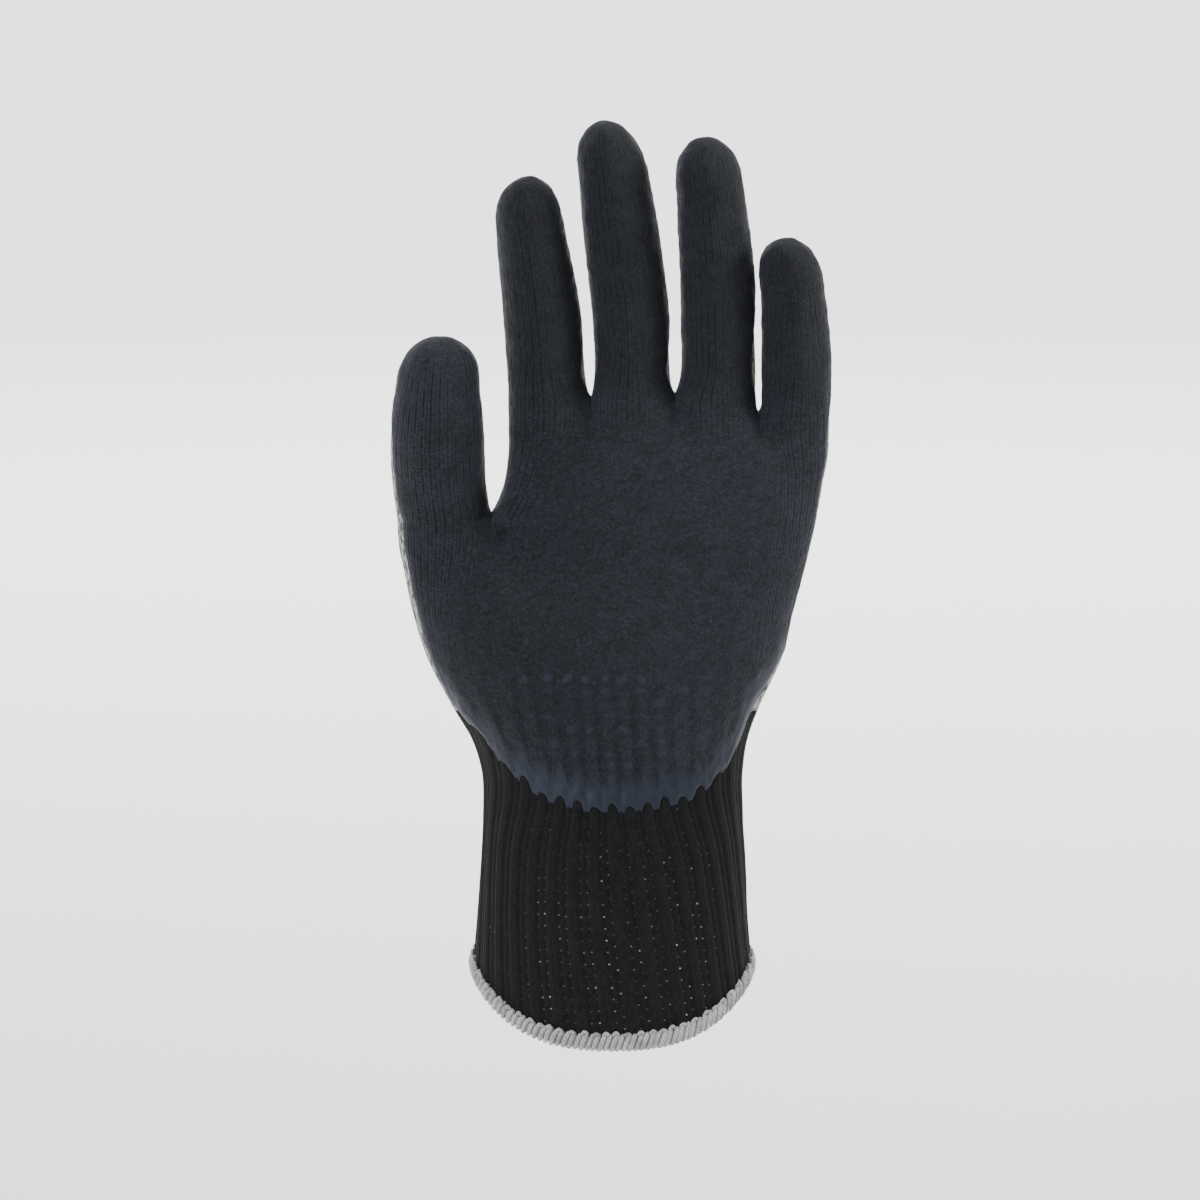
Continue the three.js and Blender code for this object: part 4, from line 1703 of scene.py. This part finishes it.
@dataclass
class Coating(Piece):
    """The foamed rubber skin over the palm side, the fingertips and the top of the cuff."""

    name = "foamed_palm_coating"
    finish = CoatingFinish()
    slot = "foamed_coating"
    nodes = ("palm_coating",)
    finger_columns: int = 34
    thumb_columns: int = 44
    row: float = 1.05
    lowest: float = 62.0
    thickness: float = 0.55
    edge: float = 0.12
    bead_height: float = 103.2
    rib_depth: Profile = Profile(
        ((64, 0.42), (70, 0.36), (82, 0.26), (96, 0.22), (101, 0.16), (105, 0), (110, 0))
    )

    def build(self) -> Thing:
        """Build the coating's closed skin.

        Returns:
            The piece.
        """
        surface = HandWeaver(self.finger_columns, self.thumb_columns, self.row, self.lowest).build()
        reach, above = DIP.reach(surface)
        ragged = 0.35 * wander(surface.places, 3.2, 9.0, 2)
        on_thumb = surface.marks["zone"] == THUMB_ZONE
        surface.marks |= {
            "reach": np.minimum(reach + ragged * ramp(8, 3, np.abs(reach)), above + 0.3 * ragged),
            "above_edge": np.minimum(above, 30.0),
            "lined": np.where(on_thumb, 1.0, self.lined(surface.places)),
            "finger": ramp(162, 186, surface.places[:, 2]) * ~on_thumb,
            "normal": surface.normals(),
        }
        kept = cut_out(surface)
        marks = kept.marks
        normal, z, on_body = unit(marks["normal"]), kept.places[:, 2], marks["zone"] < 0.5
        turn = marks["rib"] = kept.ribs_passed()
        lumps = 1 + 1.1 * wander(np.stack([turn * RIBS.pitch, z * 1.1, z * 0], 1), 4.2, 6.0, 2)
        ribs = on_body * RIBS.soft_height(turn) * self.rib_depth.at(z) * np.clip(lumps, 0.1, 1.5)
        bead = on_body * 0.32 * bell(z - self.bead_height, 0.9) * ramp(0.3, 0.5, off_whole(turn))
        skin = self.edge + (self.thickness - self.edge) * ramp(0, 1.6, marks["reach"])
        crinkle = (0.16 + 0.07 * marks["finger"]) * wander(kept.places, 3.0, 1.0, 3)
        crinkle = crinkle * ramp(0.5, 3, marks["reach"])
        outer = kept.places + normal * (skin + ribs + bead + crinkle)[:, None]
        under = on_body * RIBS.fading(turn, z)
        inner = kept.places + normal * (np.minimum(under, ribs) + 0.02)[:, None]
        shown = {name: marks[name] for name in ("above_edge", "lined", "finger", "rib")}
        return wall_from(self.name, outer, inner, kept, shown)

    @staticmethod
    def lined(places: Array) -> Array:
        """Say where the wales show as lines: on the fingers and by the palm's two sides.

        Args:
            places: The points.

        Returns:
            The strength of the lines, 0 to 1.
        """
        x, _, z = places.T
        by_side = ramp(0.68, 0.9, HAND.off_middle(x, z))
        by_thumb = ramp(-24, -36, x) * ramp(112, 142, z)
        by_crotch = 0.8 * ramp(-15, -25, x) * ramp(138, 146, z)
        side = np.maximum(np.maximum(by_side, by_thumb), by_crotch) * ramp(100, 112, z)
        return np.maximum(side, ramp(156, 178, z))


# Studio


@dataclass(frozen=True)
class Lamp:
    """One soft round light: where it stands and points, its width, and its power in watts."""

    name: str
    place: Point
    target: Point
    size: float
    power: float


def stand(name: str, data: bpy.types.ID, place: Point, target: Point) -> Thing:
    """Put a lamp or the camera in the scene, pointing at a target.

    Args:
        name: The object's name.
        data: The lamp or the camera.
        place: Where it stands.
        target: Where it points.

    Returns:
        The object.
    """
    thing = bpy.data.objects.new(name, data)
    bpy.context.scene.collection.objects.link(thing)
    thing.location = place
    thing.rotation_euler = (Vector(target) - Vector(place)).to_track_quat("-Z", "Y").to_euler()
    return thing


GLOVE_CENTRE = (0.0, 0.0, 0.13)


@dataclass(frozen=True)
class Studio:
    """Plain pale floor, soft light, and the camera at the photograph's angle, in metres."""

    eye: Point = (0.0, -0.9928, 0.2979)
    target: Point = (0.0, -0.008, 0.1242)
    lens: float = 111.6
    sensor: float = 36.0
    shift: tuple[float, float] = (-11 / 1200, -13 / 1200)
    far: float = 20.0
    floor: float = -0.12
    floor_front: float = -0.15
    floor_half_width: float = 7.0
    bend_start: float = 3.0
    bend_radius: float = 1.4
    wall_top: float = 5.0
    paper: Colour = (0.92, 0.92, 0.92, 1.0)
    air: float = 0.5
    lamps: tuple[Lamp, ...] = (
        Lamp("right", (1.4, -0.08, 0.55), GLOVE_CENTRE, 0.3, 16.0),
        Lamp("front", (-1.08, -1.12, 0.5), GLOVE_CENTRE, 0.6, 26.0),
        Lamp("top", (0.15, -0.12, 1.4), GLOVE_CENTRE, 0.5, 11.0),
        Lamp("wall_left", (-1.1, 1.1, 2.0), (-0.6, 3.2, 0.7), 1.2, 130.0),
        Lamp("wall_right", (1.1, 1.1, 2.0), (0.6, 3.2, 0.7), 1.2, 130.0),
    )

    def sweep(self) -> None:
        """Lay the pale floor, which sweeps up into a wall far behind the glove."""
        radius = self.bend_radius
        line = [(self.floor_front, self.floor)]
        for a in np.linspace(0, PI / 2, 15):
            line.append((self.bend_start + radius * math.sin(a), self.floor + radius * (1 - math.cos(a))))
        line.append((self.bend_start + radius, self.wall_top))
        half = self.floor_half_width
        places = np.array([(x, y, z) for y, z in line for x in (-half, half)]) / MM
        faces = [[2 * k, 2 * k + 1, 2 * k + 3, 2 * k + 2] for k in range(len(line) - 1)]
        ground = make_object("studio_floor", places, faces)
        recipe = Recipe("studio_paper")
        for name, value in (("Base Color", self.paper), ("Roughness", 0.95), ("Specular IOR Level", 0.1)):
            recipe.shader.inputs[name].default_value = value
        ground.data.materials.append(recipe.material)

    def build(self) -> None:
        """Set up the floor, the world, the lights and the camera."""
        self.sweep()
        world = bpy.data.worlds.new("studio_air")
        world.use_nodes = True
        back = world.node_tree.nodes["Background"]
        back.inputs["Color"].default_value = (1.0, 1.0, 1.0, 1.0)
        back.inputs["Strength"].default_value = self.air
        bpy.context.scene.world = world
        for lamp in self.lamps:
            light = bpy.data.lights.new(lamp.name, "AREA")
            light.shape = "DISK"
            light.size = lamp.size
            light.energy = lamp.power
            stand(lamp.name, light, lamp.place, lamp.target)
        view = bpy.data.cameras.new("camera")
        view.lens = self.lens
        view.sensor_width = self.sensor
        view.shift_x, view.shift_y = self.shift
        view.clip_end = self.far
        bpy.context.scene.camera = stand("camera", view, self.eye, self.target)


def main() -> None:
    """Build the glove piece by piece, set up the studio, and log each piece's point and face counts."""
    logging.basicConfig(level=logging.INFO, format="%(name)s %(message)s")
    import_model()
    for piece in (KnitHand(), RibbedCuff(), Hem(), Coating()):
        thing = piece.build()
        piece.dress(thing)
        mesh = thing.data
        log.info("%s: %d points, %d faces", thing.name, len(mesh.vertices), len(mesh.polygons))
    Studio().build()


if __name__ == "__main__":
    main()
